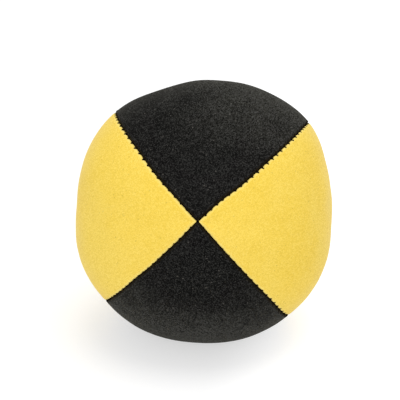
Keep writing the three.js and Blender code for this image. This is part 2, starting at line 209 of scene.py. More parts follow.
@dataclass(frozen=True)
class BallForm:
    """The filled ball as it lies.

    Args:
        tilt_deg: Level up to the front pole.
        roll_deg: Turn about the poles.
        centre_mm: Height of the centre above the flat that it rests on.
        pole_mm: Centre to a pole.
        crest_mm: Radius at which lengths along a seam are counted.
        blend_mm: Height over which the flat runs out into the round.
        rest_slopes: Cosines of the angle from straight down, out of the flat's reach and on the flat.
        least_slope: Smallest such cosine that counts, which keeps the flat's level finite all round.
        pinch_mm: How far the panels' points are drawn in at a pole.
        pinch_reach_mm: How far round the pole that is felt.
        swing_polars: Polar angles at which the seams' swings are given, and where they end.
        search_rounds: Rounds of the search for a place beside a seam.
    """

    tilt_deg: float = 19.4
    roll_deg: float = -2.5
    centre_mm: float = 30.6
    pole_mm: float = 32.4
    crest_mm: float = 33.0
    blend_mm: float = 0.4
    rest_slopes: Span = (0.8, 0.92)
    least_slope: float = 0.1
    pinch_mm: float = 0.45
    pinch_reach_mm: float = 1.2
    swing_polars: tuple[float, float, float, float] = (0.12, 0.42, 0.75, 1.4)
    search_rounds: int = 3

    @cached_property
    def lean(self) -> float:
        """Angle from straight up to the front pole."""
        return math.radians(90 - self.tilt_deg)

    @cached_property
    def turn(self) -> np.ndarray:
        """Rotation from the sewn frame to the part's.

        Returns:
            The rotation's matrix.
        """
        lean, roll = self.lean, math.radians(self.roll_deg)
        leant = [[1, 0, 0], [0, math.cos(lean), -math.sin(lean)], [0, math.sin(lean), math.cos(lean)]]
        rolled = [[math.cos(roll), -math.sin(roll), 0], [math.sin(roll), math.cos(roll), 0], [0, 0, 1]]
        return np.array(leant) @ np.array(rolled)

    @cached_property
    def down(self) -> np.ndarray:
        """The way down in the sewn frame."""
        return self.turn.T @ np.array([0.0, 0.0, -1.0])

    @cached_property
    def knots(self) -> tuple[np.ndarray, np.ndarray]:
        """The measured places round the equator, from the last seam on.

        Returns:
            Their azimuths, and the radii there.
        """
        places, radii = [], []
        for i, panel in enumerate(PANELS):
            start, end = self.seam_azimuth(i - 1), self.seam_azimuth(i)
            places += [start + (end - start) * quarter / 4 for quarter in range(4)]
            radii += [SEAMS[i - 1].corner_mm, *panel.radii_mm]
        return np.array(places), np.array(radii)

    def seam_azimuth(self, seam: int) -> float:
        """Azimuth of a seam, where -1 is the last one, a turn back."""
        turns, number = divmod(seam, len(SEAMS))
        return math.radians(SEAMS[number].azimuth_deg + 360 * turns)

    def equator(self, azimuth: np.ndarray) -> np.ndarray:
        """Centre to the full surface at the equator, on a smooth line through the measured radii.

        Args:
            azimuth: Azimuths.

        Returns:
            The radii there.
        """
        places, radii = self.knots
        spots = np.append(places, places[0] + FULL_TURN)
        values = np.append(radii, radii[0])
        steps = np.diff(spots)
        slopes = (np.roll(radii, -1) - np.roll(radii, 1)) / (steps + np.roll(steps, 1))
        slopes = np.append(slopes, slopes[0])
        angle = places[0] + (np.asarray(azimuth) - places[0]) % FULL_TURN
        k = np.clip(np.searchsorted(spots, angle, side="right") - 1, 0, len(radii) - 1)
        t = (angle - spots[k]) / steps[k]
        rise = values[k + 1] - values[k]
        start, end = slopes[k] * steps[k], slopes[k + 1] * steps[k]
        return values[k] + start * t + (3 * rise - 2 * start - end) * t**2 + (start + end - 2 * rise) * t**3

    def swing(self, polar: np.ndarray, azimuth: np.ndarray) -> np.ndarray:
        """How far the suede strays round the pole, with the seams on both sides of it.

        Args:
            polar: Polar angles.
            azimuth: Azimuths.

        Returns:
            The angles by which it strays.
        """
        places = [self.seam_azimuth(seam) for seam in range(len(SEAMS))]
        around = np.asarray(azimuth, float)
        strays = [
            np.interp(around, places, np.radians(swings), period=FULL_TURN)
            for swings in zip(*(plan.swing_deg for plan in SEAMS))
        ]
        strays.append(np.zeros_like(around))
        swing = strays[0]
        for low, high, before, after in zip(self.swing_polars, self.swing_polars[1:], strays, strays[1:]):
            swing = swing + (after - before) * smooth_step(low, high, polar)
        return swing

    def direction(self, polar: np.ndarray, azimuth: np.ndarray) -> np.ndarray:
        """Unit vectors from the centre.

        Args:
            polar: Polar angles.
            azimuth: Azimuths.

        Returns:
            The vectors, in the sewn frame.
        """
        sine = np.sin(polar)
        turned = azimuth + self.swing(polar, azimuth)
        return stack(sine * np.cos(turned), sine * np.sin(turned), np.cos(polar))

    def off_flat(self, polar: np.ndarray, azimuth: np.ndarray) -> np.ndarray:
        """0 on the flat that the ball rests on, 1 away from it."""
        return 1 - smooth_step(*self.rest_slopes, self.direction(polar, azimuth) @ self.down)

    def radius(self, polar: np.ndarray, azimuth: np.ndarray, depth: Depth = 0.0) -> np.ndarray:
        """Centre to the surface, flattened where the ball rests.

        Args:
            polar: Polar angles.
            azimuth: Azimuths.
            depth: Depth inside the suede's face.

        Returns:
            The radii there.
        """
        full = 1 / np.hypot(np.sin(polar) / self.equator(azimuth), np.cos(polar) / self.pole_mm)
        out = self.pole_mm * np.sin(polar) / self.pinch_reach_mm
        full = full - depth - self.pinch_mm * np.exp(-(out**2))
        slope = self.direction(polar, azimuth) @ self.down
        flat = (self.centre_mm - depth) / np.maximum(slope, self.least_slope)
        blend = np.maximum(self.blend_mm - np.abs(full - flat), 0)
        return np.minimum(full, flat) - blend**2 / (4 * self.blend_mm)

    def point(self, polar: np.ndarray, azimuth: np.ndarray, depth: Depth = 0.0) -> np.ndarray:
        """Points in the sewn frame at a depth inside the suede's face."""
        return self.direction(polar, azimuth) * self.radius(polar, azimuth, depth)[..., None]

    def beside(self, polar: np.ndarray, seam: float, distance: np.ndarray, depth: Depth) -> np.ndarray:
        """Azimuth of the point at a signed distance from the plane of a seam.

        Args:
            polar: Polar angles.
            seam: The seam's azimuth.
            distance: Distance from its plane, positive towards higher azimuths.
            depth: Depth inside the suede's face.

        Returns:
            The azimuths.
        """
        azimuth = seam + 0 * (polar + distance)
        for _ in range(self.search_rounds):
            ring = self.radius(polar, azimuth, depth) * np.sin(polar)
            azimuth = seam + np.arcsin(np.clip(distance / np.maximum(ring, TINY), -1, 1))
        return azimuth

    def placed(self, points: np.ndarray) -> np.ndarray:
        """Points of the sewn frame in the part's frame, in metres."""
        return (points @ self.turn.T + np.array([0, 0, self.centre_mm])) * MM


@dataclass(frozen=True)
class EdgeRoll:
    """How a panel's suede turns into a seam.

    Args:
        gap_mm: Seam's plane to the suede.
        width_mm: Width of the turn.
        bite_mm: How far a stitch draws the edge back from the seam.
        dimple_mm: How deep it draws the suede in.
        depth_mm: Depth of the turn, down to the stitches.
        dimple_reach_mm: How far from the seam a dimple is felt.
    """

    gap_mm: float
    width_mm: float
    bite_mm: float
    dimple_mm: float
    depth_mm: float = 0.5
    dimple_reach_mm: float = 0.8

    def dimple(self, distance: np.ndarray, draw: np.ndarray) -> np.ndarray:
        """Depth that the stitches' pull adds at a distance from the seam."""
        return self.dimple_mm * draw * np.exp(-((distance / self.dimple_reach_mm) ** 2))

    def face_depth(self, distance: float, draw: float) -> float:
        """Depth of the suede's face below the full form.

        Args:
            distance: Distance from the seam.
            draw: Pull of the stitch there.

        Returns:
            The depth.
        """
        inward = min(max((distance - self.gap_mm - self.bite_mm * draw) / self.width_mm, 0), 1)
        roll = self.depth_mm * (1 - math.sqrt(1 - (1 - inward) ** 2))
        return roll + float(self.dimple(np.float64(distance), np.float64(draw)))


ROLLS = {
    Suede.YELLOW: EdgeRoll(gap_mm=0.2, width_mm=0.9, bite_mm=0.28, dimple_mm=0.16),
    Suede.BLACK: EdgeRoll(gap_mm=0.09, width_mm=0.55, bite_mm=0.06, dimple_mm=0.12),
}


@dataclass(frozen=True)
class StitchRow:
    """The stitches of one seam, from the front pole to the back.

    Args:
        azimuth: The seam's azimuth.
        arcs: Where the stitches are, along the seam's crest from the front pole.
        pulls: How hard each draws the suede in.
        hand: Which of them are hand-sewn.
        width_mm: Half the length of suede that a stitch draws in.
    """

    azimuth: float
    arcs: np.ndarray
    pulls: np.ndarray
    hand: np.ndarray
    width_mm: float = 0.32

    def draw(self, arc: np.ndarray) -> np.ndarray:
        """Pull that the suede feels at places along the seam."""
        gaps = (np.asarray(arc)[:, None] - self.arcs[None, :]) / self.width_mm
        return (self.pulls * np.exp(-(gaps**2))).sum(axis=1)


@dataclass(frozen=True)
class Needlework:
    """Sets out the stitches of every seam.

    Args:
        form: The ball's form.
        last_mm: Back pole to the last stitch, at least.
        stray_mm: How far a stitch strays from its place.
        shown_mm: Places along a seam at which its tooth shares are given, and from where the back's holds.
        shown_behind: How far the stitches show on the back.
        machine_pull: Least and greatest pull of a machine stitch, of what its place shows.
        hand_pull: Least and greatest pull of a hand stitch.
        closing_deg: Polar angles between which a seam was closed by hand.
        closing_pitch_mm: Between hand stitches.
        seed: Start of the random draws for the first seam.
    """

    form: BallForm
    last_mm: float = 1.3
    stray_mm: float = 0.08
    shown_mm: tuple[float, ...] = (2.0, 14.0, 24.0, 33.0, 60.0)
    shown_behind: float = 0.9
    machine_pull: Span = (0.82, 1.12)
    hand_pull: Span = (1.1, 1.3)
    closing_deg: Span = (130.4, 172.0)
    closing_pitch_mm: float = 3.2
    seed: int = 40

    def row(self, seam: int) -> StitchRow:
        """The stitches of one seam.

        Args:
            seam: Which seam.

        Returns:
            Its stitches.
        """
        draw = np.random.default_rng(self.seed + seam)
        plan = SEAMS[seam]
        crest = self.form.crest_mm
        end = math.pi * crest - self.last_mm
        opening = [math.radians(angle) * crest for angle in self.closing_deg]
        if seam == CLOSED_SEAM:
            end = opening[0] - self.closing_pitch_mm / 2
        arcs = np.arange(plan.first_mm, end, plan.pitch_mm)
        arcs = arcs + draw.uniform(-self.stray_mm, self.stray_mm, len(arcs))
        shown = np.interp(arcs, self.shown_mm, [*plan.tooth_shares, self.shown_behind])
        pulls = shown * draw.uniform(*self.machine_pull, len(arcs))
        hand = np.zeros(len(arcs), bool)
        if seam == CLOSED_SEAM:
            hand_count = int(round((opening[1] - opening[0]) / self.closing_pitch_mm)) + 1
            arcs = np.append(arcs, np.linspace(*opening, hand_count))
            pulls = np.append(pulls, draw.uniform(*self.hand_pull, hand_count))
            hand = np.append(hand, np.ones(hand_count, bool))
        return StitchRow(self.form.seam_azimuth(seam), arcs, pulls, hand)


class Signal:
    """A value in a node tree that takes part in Python expressions."""

    def __init__(self, nodes: "Nodes", socket: bpy.types.NodeSocket) -> None:
        """Wraps an output socket."""
        self.nodes = nodes
        self.socket = socket

    def _math(self, operation: str, first: "Level", second: "Level") -> "Signal":
        """A Math node on two values."""
        node = self.nodes.add("ShaderNodeMath", {"operation": operation}, {0: first, 1: second})
        return Signal(self.nodes, node.outputs[0])

    def __add__(self, other: "Level") -> "Signal":
        """Sum."""
        return self._math("ADD", self, other)

    def __radd__(self, other: "Level") -> "Signal":
        """Sum with a number in front."""
        return self._math("ADD", other, self)

    def __sub__(self, other: "Level") -> "Signal":
        """Difference."""
        return self._math("SUBTRACT", self, other)

    def __rsub__(self, other: "Level") -> "Signal":
        """Difference from a number in front."""
        return self._math("SUBTRACT", other, self)

    def __mul__(self, other: "Level") -> "Signal":
        """Product."""
        return self._math("MULTIPLY", self, other)

    def __rmul__(self, other: "Level") -> "Signal":
        """Product with a number in front."""
        return self._math("MULTIPLY", other, self)

    def larger(self, other: "Level") -> "Signal":
        """The larger of two values."""
        return self._math("MAXIMUM", self, other)

    def spread(self, low: float, high: float) -> "Signal":
        """Smooth rise from 0 to 1.

        Args:
            low: Value up to which it is 0.
            high: Value from which on it is 1.

        Returns:
            The rise.
        """
        inputs = {"Value": self, "From Min": low, "From Max": high}
        node = self.nodes.add("ShaderNodeMapRange", {"interpolation_type": "SMOOTHSTEP"}, inputs)
        return Signal(self.nodes, node.outputs[0])


Level = Union[float, Signal]


class Nodes:
    """A node tree with one method that adds any node."""

    def __init__(self, tree: bpy.types.NodeTree) -> None:
        """Empties the tree."""
        self.tree = tree
        tree.nodes.clear()

    def add(
        self, kind: str, settings: Optional[Mapping[str, object]] = None, inputs: Optional[Inputs] = None
    ) -> bpy.types.Node:
        """Adds a node.

        Args:
            kind: The node's type.
            settings: Its settings, set first. The setting stops gives a colour ramp's stops.
            inputs: Values or links of its input sockets.

        Returns:
            The node.
        """
        node = self.tree.nodes.new(kind)
        for key, value in (settings or {}).items():
            if key == "stops":
                self._set_stops(node.color_ramp, value)
            else:
                setattr(node, key, value)
        for key, value in (inputs or {}).items():
            source = value.socket if isinstance(value, Signal) else value
            if isinstance(source, bpy.types.NodeSocket):
                self.tree.links.new(source, node.inputs[key])
            else:
                node.inputs[key].default_value = source
        return node

    @staticmethod
    def _set_stops(ramp: bpy.types.ColorRamp, stops: Sequence[tuple[float, Colour]]) -> None:
        """Sets a colour ramp's stops.

        Args:
            ramp: The ramp.
            stops: Two or more places, each with its colour.
        """
        while len(ramp.elements) < len(stops):
            ramp.elements.new(1.0)
        for element, (place, colour) in zip(ramp.elements, stops):
            element.position = place
            element.color = (*colour, 1)

    def mixed(self, share: Level, first: object, second: object, how: str = "MIX") -> bpy.types.NodeSocket:
        """Two colours mixed.

        Args:
            share: Share of the second.
            first: A colour or a link to one.
            second: The other colour or a link to it.
            how: The way that they are mixed.

        Returns:
            The mixed colour.
        """
        colours = {
            key: (*value, 1) if isinstance(value, tuple) else value
            for key, value in zip(MIX_COLOURS, (first, second))
        }
        node = self.add("ShaderNodeMix", {"data_type": "RGBA", "blend_type": how}, {0: share, **colours})
        return node.outputs[MIX_RESULT]

    def place(self) -> bpy.types.NodeSocket:
        """Place on the object."""
        return self.add("ShaderNodeTexCoord").outputs["Object"]

    def across(self, place: bpy.types.NodeSocket) -> Signal:
        """A place's distance to the right of the middle."""
        return Signal(self, self.add("ShaderNodeSeparateXYZ", {}, {0: place}).outputs["X"])

    def noise(self, place: object, size_mm: float, detail: float = 2.0, roughness: float = 0.5) -> Signal:
        """Noise with patches of about a size, about 0.5 on average."""
        inputs = {"Vector": place, "Scale": 1 / (size_mm * MM), "Detail": detail, "Roughness": roughness}
        return Signal(self, self.add("ShaderNodeTexNoise", {}, inputs).outputs[0])

    def flecks(self, place: object, size_mm: float) -> tuple[Signal, bpy.types.NodeSocket]:
        """Flecks, each with chances of its own.

        Args:
            place: Place on the object.
            size_mm: About how wide they are.

        Returns:
            A chance value, 0.5 on average, and a chance colour.
        """
        inputs = {"Vector": place, "Scale": 1 / (size_mm * MM)}
        colour = self.add("ShaderNodeTexVoronoi", {}, inputs).outputs["Color"]
        parts = self.add("ShaderNodeSeparateColor", {}, {0: colour})
        return Signal(self, parts.outputs[0]), colour

    def attribute(self, name: str) -> Signal:
        """A value that the mesh carries at its points."""
        return Signal(self, self.add("ShaderNodeAttribute", {"attribute_name": name}).outputs["Fac"])

    def relief(self, height: Signal, strength: float, depth_mm: float) -> bpy.types.NodeSocket:
        """Normals of a surface with a fine relief."""
        inputs = {"Strength": strength, "Distance": depth_mm * MM, "Height": height}
        return self.add("ShaderNodeBump", {}, inputs).outputs[0]


def new_material(name: str) -> tuple[bpy.types.Material, Nodes]:
    """A material with nothing in it yet.

    Args:
        name: Its name.

    Returns:
        The material and its node tree.
    """
    material = bpy.data.materials.new(name)
    material.use_nodes = True
    return material, Nodes(material.node_tree)


def finish_surface(nodes: Nodes, inputs: Inputs) -> None:
    """Ends a material in a surface shader with these inputs."""
    shader = nodes.add("ShaderNodeBsdfPrincipled", {}, inputs)
    nodes.add("ShaderNodeOutputMaterial", {}, {"Surface": shader.outputs[0]})


@dataclass(frozen=True)
class NapPattern:
    """How the nap of any suede grows, lies and wears.

    Args:
        clouds: Share, width in millimetres and roughness of the broad and the small clouds in a hide.
        cloud_detail: How finely they break up.
        patch_levels: Levels of the clouds at which the nap lies down and stands up.
        tuft_mm: Width of the tufts.
        fibre_mm: Width of the finest fibres that show.
        fibre_length: Their length as they lie, in widths.
        fine_detail: How finely tufts and fibres break up.
        pit_shares: Shares of tufts, fibres and chance in what is a pit and what a tip.
        pit_levels: Levels at which a pit or a tip starts to show and shows in full.
        relief_shares: Shares of tufts and fibres in the relief.
        relief_mm: Height of the relief.
        rub_and_sheen_levels: Distances from the axis through the poles, in radii, at which rubbing and painted
            sheen start and are full.
        rub_and_sheen_shares: How much lying nap is worn by rubbing and painted with sheen, and how much more
            what stands up.
        left_shade_mm: Places across the ball between which the painted shade on its left side ends.
        left_shade_levels: Places down from the ball's centre, in radii, between which that shade ends below.
        scuff_and_bounce_levels: Places down from the centre, in radii, between which the underside's scuffs
            and painted floor bounce light start.
        speck_mm: Width of the stray specks.
        speck_chance: Chance values between which a fleck of that width turns into a speck.
        roughness: Roughness of the fibres.
        sheen_roughness: Roughness of their sheen.
    """

    clouds: tuple[Triple, Triple] = ((0.75, 22.0, 0.55), (0.25, 5.0, 0.6))
    cloud_detail: float = 3.0
    patch_levels: Span = (0.36, 0.64)
    tuft_mm: float = 0.38
    fibre_mm: float = 0.18
    fibre_length: float = 3.5
    fine_detail: float = 1.0
    pit_shares: Triple = (0.1, 0.2, 0.7)
    pit_levels: Span = (0.5, 0.85)
    relief_shares: Span = (0.55, 0.45)
    relief_mm: float = 0.12
    rub_and_sheen_levels: Span = (0.4, 1.0)
    rub_and_sheen_shares: Span = (0.25, 1.5)
    left_shade_mm: Span = (-20.0, 8.0)
    left_shade_levels: Span = (-0.2, 0.4)
    scuff_and_bounce_levels: Span = (0.35, 0.75)
    speck_mm: float = 0.26
    speck_chance: Span = (0.993, 0.998)
    roughness: float = 0.94
    sheen_roughness: float = 0.35


@dataclass(frozen=True)
class SuedeFinish:
    """Suede with a short nap.

    Args:
        name: The material's name.
        deep: Colour where the nap lies down.
        pale: Colour where it stands up.
        fibre_dark: Colour between the fibres.
        fibre_light: Colour of the fibres' tips.
        dark_share: How much of the dark shows.
        light_share: How much of the light shows.
        hue_share: How much the fibres' own hues differ.
        speck: Colour of the few stray specks.
        speck_share: How strong these are.
        worn: Colour where hands rub the nap, away from the poles; it is also painted sheen that lightens the
            suede towards the ball's outline as seen from the front.
        worn_lit_tip: Colour of the fibres' tips there, and of the underside's scuffs and painted bounce light.
        wear_and_sheen_share: How much rubbing wears it and paints sheen on it there.
        left_painted_shade: How much less of that the ball's upper left gets, a painted shade that leaves the
            right side lighter.
        scuff_and_bounce_share: How much the tips show all over the underside, on which the ball lands: scuffs,
            and painted bounce light from the floor.
        seam_light_and_shade: Colour painted along its seams: shade for the black suede, with a brown tint, and
            a highlight on the rolled edges for the yellow.
        seam_light_and_shade_share: How strong that is.
        seam_light_and_shade_reach_mm: Distances from a seam at which it starts to fade and is gone.
        gloss: Level of the fibres' own gloss.
        sheen: Weight of the nap's sheen.
        sheen_tint: Its colour.
        relief: Strength of the nap's relief.
        drift_mm: Which part of the cloudy hide the panels are cut from.
        pattern: How the nap grows, lies and wears.
    """

    name: str
    deep: Colour
    pale: Colour
    fibre_dark: Colour
    fibre_light: Colour
    dark_share: float
    light_share: float
    hue_share: float
    speck: Colour
    speck_share: float
    worn: Colour
    worn_lit_tip: Colour
    wear_and_sheen_share: float
    left_painted_shade: float
    scuff_and_bounce_share: float
    seam_light_and_shade: Colour
    seam_light_and_shade_share: float
    seam_light_and_shade_reach_mm: Span
    gloss: float
    sheen: float
    sheen_tint: Colour
    relief: float
    drift_mm: Triple
    pattern: NapPattern = NapPattern()

    def _patches(self, nodes: Nodes, place: bpy.types.NodeSocket) -> Signal:
        """Where the nap of the cloudy hide lies down and where it stands up.

        Args:
            nodes: The material's nodes.
            place: Place on the object.

        Returns:
            0 where it lies down, 1 where it stands up.
        """
        plan = self.pattern
        shift = tuple(length * MM for length in self.drift_mm)
        hide = nodes.add("ShaderNodeMapping", {}, {"Vector": place, "Location": shift}).outputs[0]
        broad, small = (
            share * nodes.noise(hide, width, plan.cloud_detail, roughness)
            for share, width, roughness in plan.clouds
        )
        return (broad + small).spread(*plan.patch_levels)

    def _wear_and_painted_light(self, nodes: Nodes, place: bpy.types.NodeSocket, patch: Signal) -> tuple[Signal, Signal]:
        """Where hands rub the nap and landings scuff it, with painted sheen and painted floor bounce light.

        Args:
            nodes: The material's nodes.
            place: Place on the object.
            patch: Where the nap stands up.

        Returns:
            How much rubbing wears the nap and paints sheen, and how much scuffing and painted floor bounce
            light show.
        """
        plan = self.pattern
        below = nodes.attribute("downward")
        # Painted shade on the ball's upper left: less sheen there, so the right side is lighter.
        on_left = 1 - nodes.across(place).spread(*(length * MM for length in plan.left_shade_mm))
        right_lit = 1 - self.left_painted_shade * on_left * (1 - below.spread(*plan.left_shade_levels))
        least, more = plan.rub_and_sheen_shares
        # Rubbing away from the poles, with painted sheen that lightens the suede towards the outline seen from
        # the front.
        out = nodes.attribute("from_pole").spread(*plan.rub_and_sheen_levels)
        rubbed_and_sheen = out * (least + more * patch) * self.wear_and_sheen_share * right_lit
        # The underside: scuffs with painted bounce light from the floor.
        return rubbed_and_sheen, below.spread(*plan.scuff_and_bounce_levels) * self.scuff_and_bounce_share

    def material(self, form: BallForm) -> bpy.types.Material:
        """The finish as a material.

        Args:
            form: The ball's form, along the axis of whose poles the nap is brushed.

        Returns:
            The material.
        """
        plan = self.pattern
        material, nodes = new_material(self.name)
        place = nodes.place()
        patch = self._patches(nodes, place)
        rubbed_and_sheen, scuffed_and_bounce = self._wear_and_painted_light(nodes, place, patch)
        lie = {"Vector": place, "Rotation": (form.lean, 0, 0), "Scale": (1, 1, plan.fibre_length)}
        brushed = nodes.add("ShaderNodeMapping", {"vector_type": "TEXTURE"}, lie).outputs[0]
        tufts = nodes.noise(brushed, plan.tuft_mm, plan.fine_detail)
        fibres = nodes.noise(brushed, plan.fibre_mm, plan.fine_detail)
        fleck, hues = nodes.flecks(brushed, plan.fibre_mm)
        of_tufts, of_fibres, of_chance = plan.pit_shares
        pits = of_tufts * tufts + of_fibres * fibres + of_chance * fleck
        dark = (1 - pits).spread(*plan.pit_levels) * self.dark_share
        light = pits.spread(*plan.pit_levels) * self.light_share
        # Painted sheen: where the nap is worn by rubbing, its tips turn lighter.
        tips = nodes.mixed(rubbed_and_sheen, self.fibre_light, self.worn_lit_tip)
        chance, _ = nodes.flecks(place, plan.speck_mm)
        specks = chance.spread(*plan.speck_chance) * self.speck_share
        # Painted shade along the black seams and a painted highlight along the yellow rolled edges.
        beside_seam = 1 - nodes.attribute("seam_distance").spread(*self.seam_light_and_shade_reach_mm)
        colour = nodes.mixed(patch, self.deep, self.pale)
        # The layers of rubbing and scuffing are wear and scuffs with painted sheen and painted floor bounce
        # light.
        layers = ((rubbed_and_sheen, self.worn), (scuffed_and_bounce, self.worn_lit_tip), (dark, self.fibre_dark), (light, tips))
        for share, layer in layers:
            colour = nodes.mixed(share, colour, layer)
        colour = nodes.mixed(self.hue_share, colour, nodes.mixed(1.0, colour, hues, "MULTIPLY"))
        colour = nodes.mixed(specks, colour, self.speck)
        colour = nodes.mixed(beside_seam * self.seam_light_and_shade_share, colour, self.seam_light_and_shade)
        high_tufts, high_fibres = plan.relief_shares
        height = high_tufts * tufts + high_fibres * fibres
        finish_surface(
            nodes,
            {
                "Base Color": colour,
                "Roughness": plan.roughness,
                "Specular IOR Level": self.gloss,
                "Sheen Weight": self.sheen,
                "Sheen Roughness": plan.sheen_roughness,
                "Sheen Tint": (*self.sheen_tint, 1),
                "Normal": nodes.relief(height, self.relief, plan.relief_mm),
            },
        )
        return material


YELLOW_SUEDE = SuedeFinish(
    name="yellow_suede",
    deep=(0.875, 0.615, 0.076),
    pale=(0.92, 0.66, 0.105),
    fibre_dark=(0.66, 0.43, 0.045),
    fibre_light=(1.0, 0.8, 0.21),
    dark_share=0.31,
    light_share=0.42,
    hue_share=0.01,
    speck=(0.2, 0.12, 0.02),
    speck_share=0.3,
    # worn and its tips: wear with painted sheen towards the outline, and painted floor bounce light on the
    # underside
    worn=(0.87, 0.64, 0.108),
    worn_lit_tip=(1.0, 0.8, 0.22),
    wear_and_sheen_share=0.6,
    left_painted_shade=0.0,
    scuff_and_bounce_share=0.15,
    # a painted highlight on the rolled edges beside the seams
    seam_light_and_shade=(0.95, 0.77, 0.24),
    seam_light_and_shade_share=0.55,
    seam_light_and_shade_reach_mm=(0.4, 1.0),
    gloss=0.12,
    sheen=0.2,
    sheen_tint=(1.0, 0.97, 0.9),
    relief=0.3,
    drift_mm=(-180, -213, -238),
)
BLACK_SUEDE = SuedeFinish(
    name="black_suede",
    deep=(0.0039, 0.0038, 0.0036),
    pale=(0.0088, 0.0086, 0.0081),
    fibre_dark=(0.0015, 0.0014, 0.0013),
    fibre_light=(0.046, 0.0457, 0.0427),
    dark_share=1.0,
    light_share=0.65,
    hue_share=0.02,
    speck=(0.13, 0.12, 0.105),
    speck_share=0.5,
    # worn and its tips: wear with painted sheen towards the outline, and painted floor bounce light on the
    # underside
    worn=(0.0245, 0.024, 0.0195),
    worn_lit_tip=(0.077, 0.077, 0.0735),
    wear_and_sheen_share=0.75,
    # painted shade on the upper left, leaving the right side lighter
    left_painted_shade=0.85,
    # scuffs and painted floor bounce light on the underside
    scuff_and_bounce_share=0.31,
    # painted shade in the seams, with a brown tint
    seam_light_and_shade=(0.0105, 0.0068, 0.0018),
    seam_light_and_shade_share=0.75,
    seam_light_and_shade_reach_mm=(0.2, 0.7),
    gloss=0.05,
    sheen=0.055,
    sheen_tint=(1.0, 0.97, 0.78),
    relief=0.7,
    drift_mm=(133, 33, 141),
)


@dataclass(frozen=True)
class ThreadFinish:
    """Twisted black thread.

    Args:
        name: The material's name.
        deep: Colour between the plies.
        worn: Colour of the fibres on top.
        fibre_mm: Width of the fibres.
        fibre_roughness: How unevenly they lie.
        fibre_levels: Levels between which a fibre comes to the top.
        relief: Strength of the fibres' relief.
        relief_mm: Its height.
        roughness: Roughness of the thread.
        gloss: Level of its gloss.
    """

    name: str = "black_thread"
    deep: Colour = (0.006, 0.0036, 0.0008)
    worn: Colour = (0.016, 0.01, 0.0022)
    fibre_mm: float = 0.18
    fibre_roughness: float = 0.6
    fibre_levels: Span = (0.4, 0.65)
    relief: float = 0.4
    relief_mm: float = 0.05
    roughness: float = 0.8
    gloss: float = 0.08

    def material(self) -> bpy.types.Material:
        """The finish as a material.

        Returns:
            The material.
        """
        material, nodes = new_material(self.name)
        fibres = nodes.noise(nodes.place(), self.fibre_mm, roughness=self.fibre_roughness)
        inputs = {
            "Base Color": nodes.mixed(fibres.spread(*self.fibre_levels), self.deep, self.worn),
            "Roughness": self.roughness,
            "Specular IOR Level": self.gloss,
            "Normal": nodes.relief(fibres, self.relief, self.relief_mm),
        }
        finish_surface(nodes, inputs)
        return material


@dataclass(frozen=True)
class MilletFinish:
    """Husked millet, each grain its own shade.

    Args:
        name: The material's name.
        stops: Shades from the darkest grain to the palest.
        mottle_mm: Width of the spots on a grain.
        mottle_share: How much these change its shade.
        roughness: Least roughness of a grain, and what its spots add.
        relief: Strength of its relief.
        relief_mm: Height of the relief.
    """

    name: str = "millet_grains"
    stops: tuple[tuple[float, Colour], ...] = (
        (0.0, (0.44, 0.25, 0.06)),
        (0.5, (0.66, 0.46, 0.14)),
        (1.0, (0.8, 0.64, 0.3)),
    )
    mottle_mm: float = 0.5
    mottle_share: float = 0.3
    roughness: Span = (0.35, 0.25)
    relief: float = 0.2
    relief_mm: float = 0.05

    def material(self) -> bpy.types.Material:
        """The finish as a material.

        Returns:
            The material.
        """
        material, nodes = new_material(self.name)
        mottle = nodes.noise(nodes.place(), self.mottle_mm)
        shade = nodes.attribute("grain_shade") + self.mottle_share * (mottle - 0.5)
        ramp = nodes.add("ShaderNodeValToRGB", {"stops": self.stops}, {0: shade})
        least, more = self.roughness
        inputs = {
            "Base Color": ramp.outputs[0],
            "Roughness": least + more * mottle,
            "Normal": nodes.relief(mottle, self.relief, self.relief_mm),
        }
        finish_surface(nodes, inputs)
        return material


def deselect() -> None:
    """Leaves nothing selected."""
    for item in bpy.context.selected_objects:
        item.select_set(False)
    bpy.context.view_layer.objects.active = None


def choose(item: bpy.types.Object) -> None:
    """Selects one object and makes it the active one.

    Args:
        item: The object.
    """
    deselect()
    item.select_set(True)
    bpy.context.view_layer.objects.active = item


def new_object(name: str, data: bpy.types.ID) -> bpy.types.Object:
    """An object in the scene, at the origin.

    Args:
        name: Its name.
        data: Its mesh, light or camera.

    Returns:
        The object.
    """
    item = bpy.data.objects.new(name, data)
    bpy.context.scene.collection.objects.link(item)
    return item


def put_in_part(item: bpy.types.Object, material: bpy.types.Material, node: str) -> None:
    """Gives a piece its material and its place in the part, and reports it.

    Args:
        item: The piece.
        material: Its material.
        node: The CAD node that it stands for.
    """
    item.data.materials.append(material)
    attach(item, "root")
    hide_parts(node)
    LOG.info("%s: %d faces", item.name, len(item.data.polygons))


@dataclass
class Surface:
    """Points and faces that become one mesh.

    Args:
        points: The points, in metres in the part's frame.
        faces: The faces' corners.
    """

    points: np.ndarray
    faces: Faces

    def mesh_object(self, name: str, values: Optional[Mapping[str, np.ndarray]] = None) -> bpy.types.Object:
        """A smooth mesh object at the origin.

        Args:
            name: Its name.
            values: Values that its points carry.

        Returns:
            The object.
        """
        mesh = bpy.data.meshes.new(name)
        mesh.from_pydata(self.points.tolist(), [], self.faces)
        mesh.polygons.foreach_set("use_smooth", np.ones(len(self.faces), bool))
        for key, value in (values or {}).items():
            carried = mesh.attributes.new(key, "FLOAT", "POINT")
            carried.data.foreach_set("value", np.asarray(value, np.float32).ravel())
        mesh.update()
        item = new_object(name, mesh)
        choose(item)
        bpy.ops.object.mode_set(mode="EDIT")
        bpy.ops.mesh.select_all(action="SELECT")
        bpy.ops.mesh.normals_make_consistent(inside=False)
        bpy.ops.object.mode_set(mode="OBJECT")
        return item


def shifted(faces: Faces, count: int) -> Faces:
    """Faces whose points come after a number of others."""
    return [tuple(corner + count for corner in face) for face in faces]


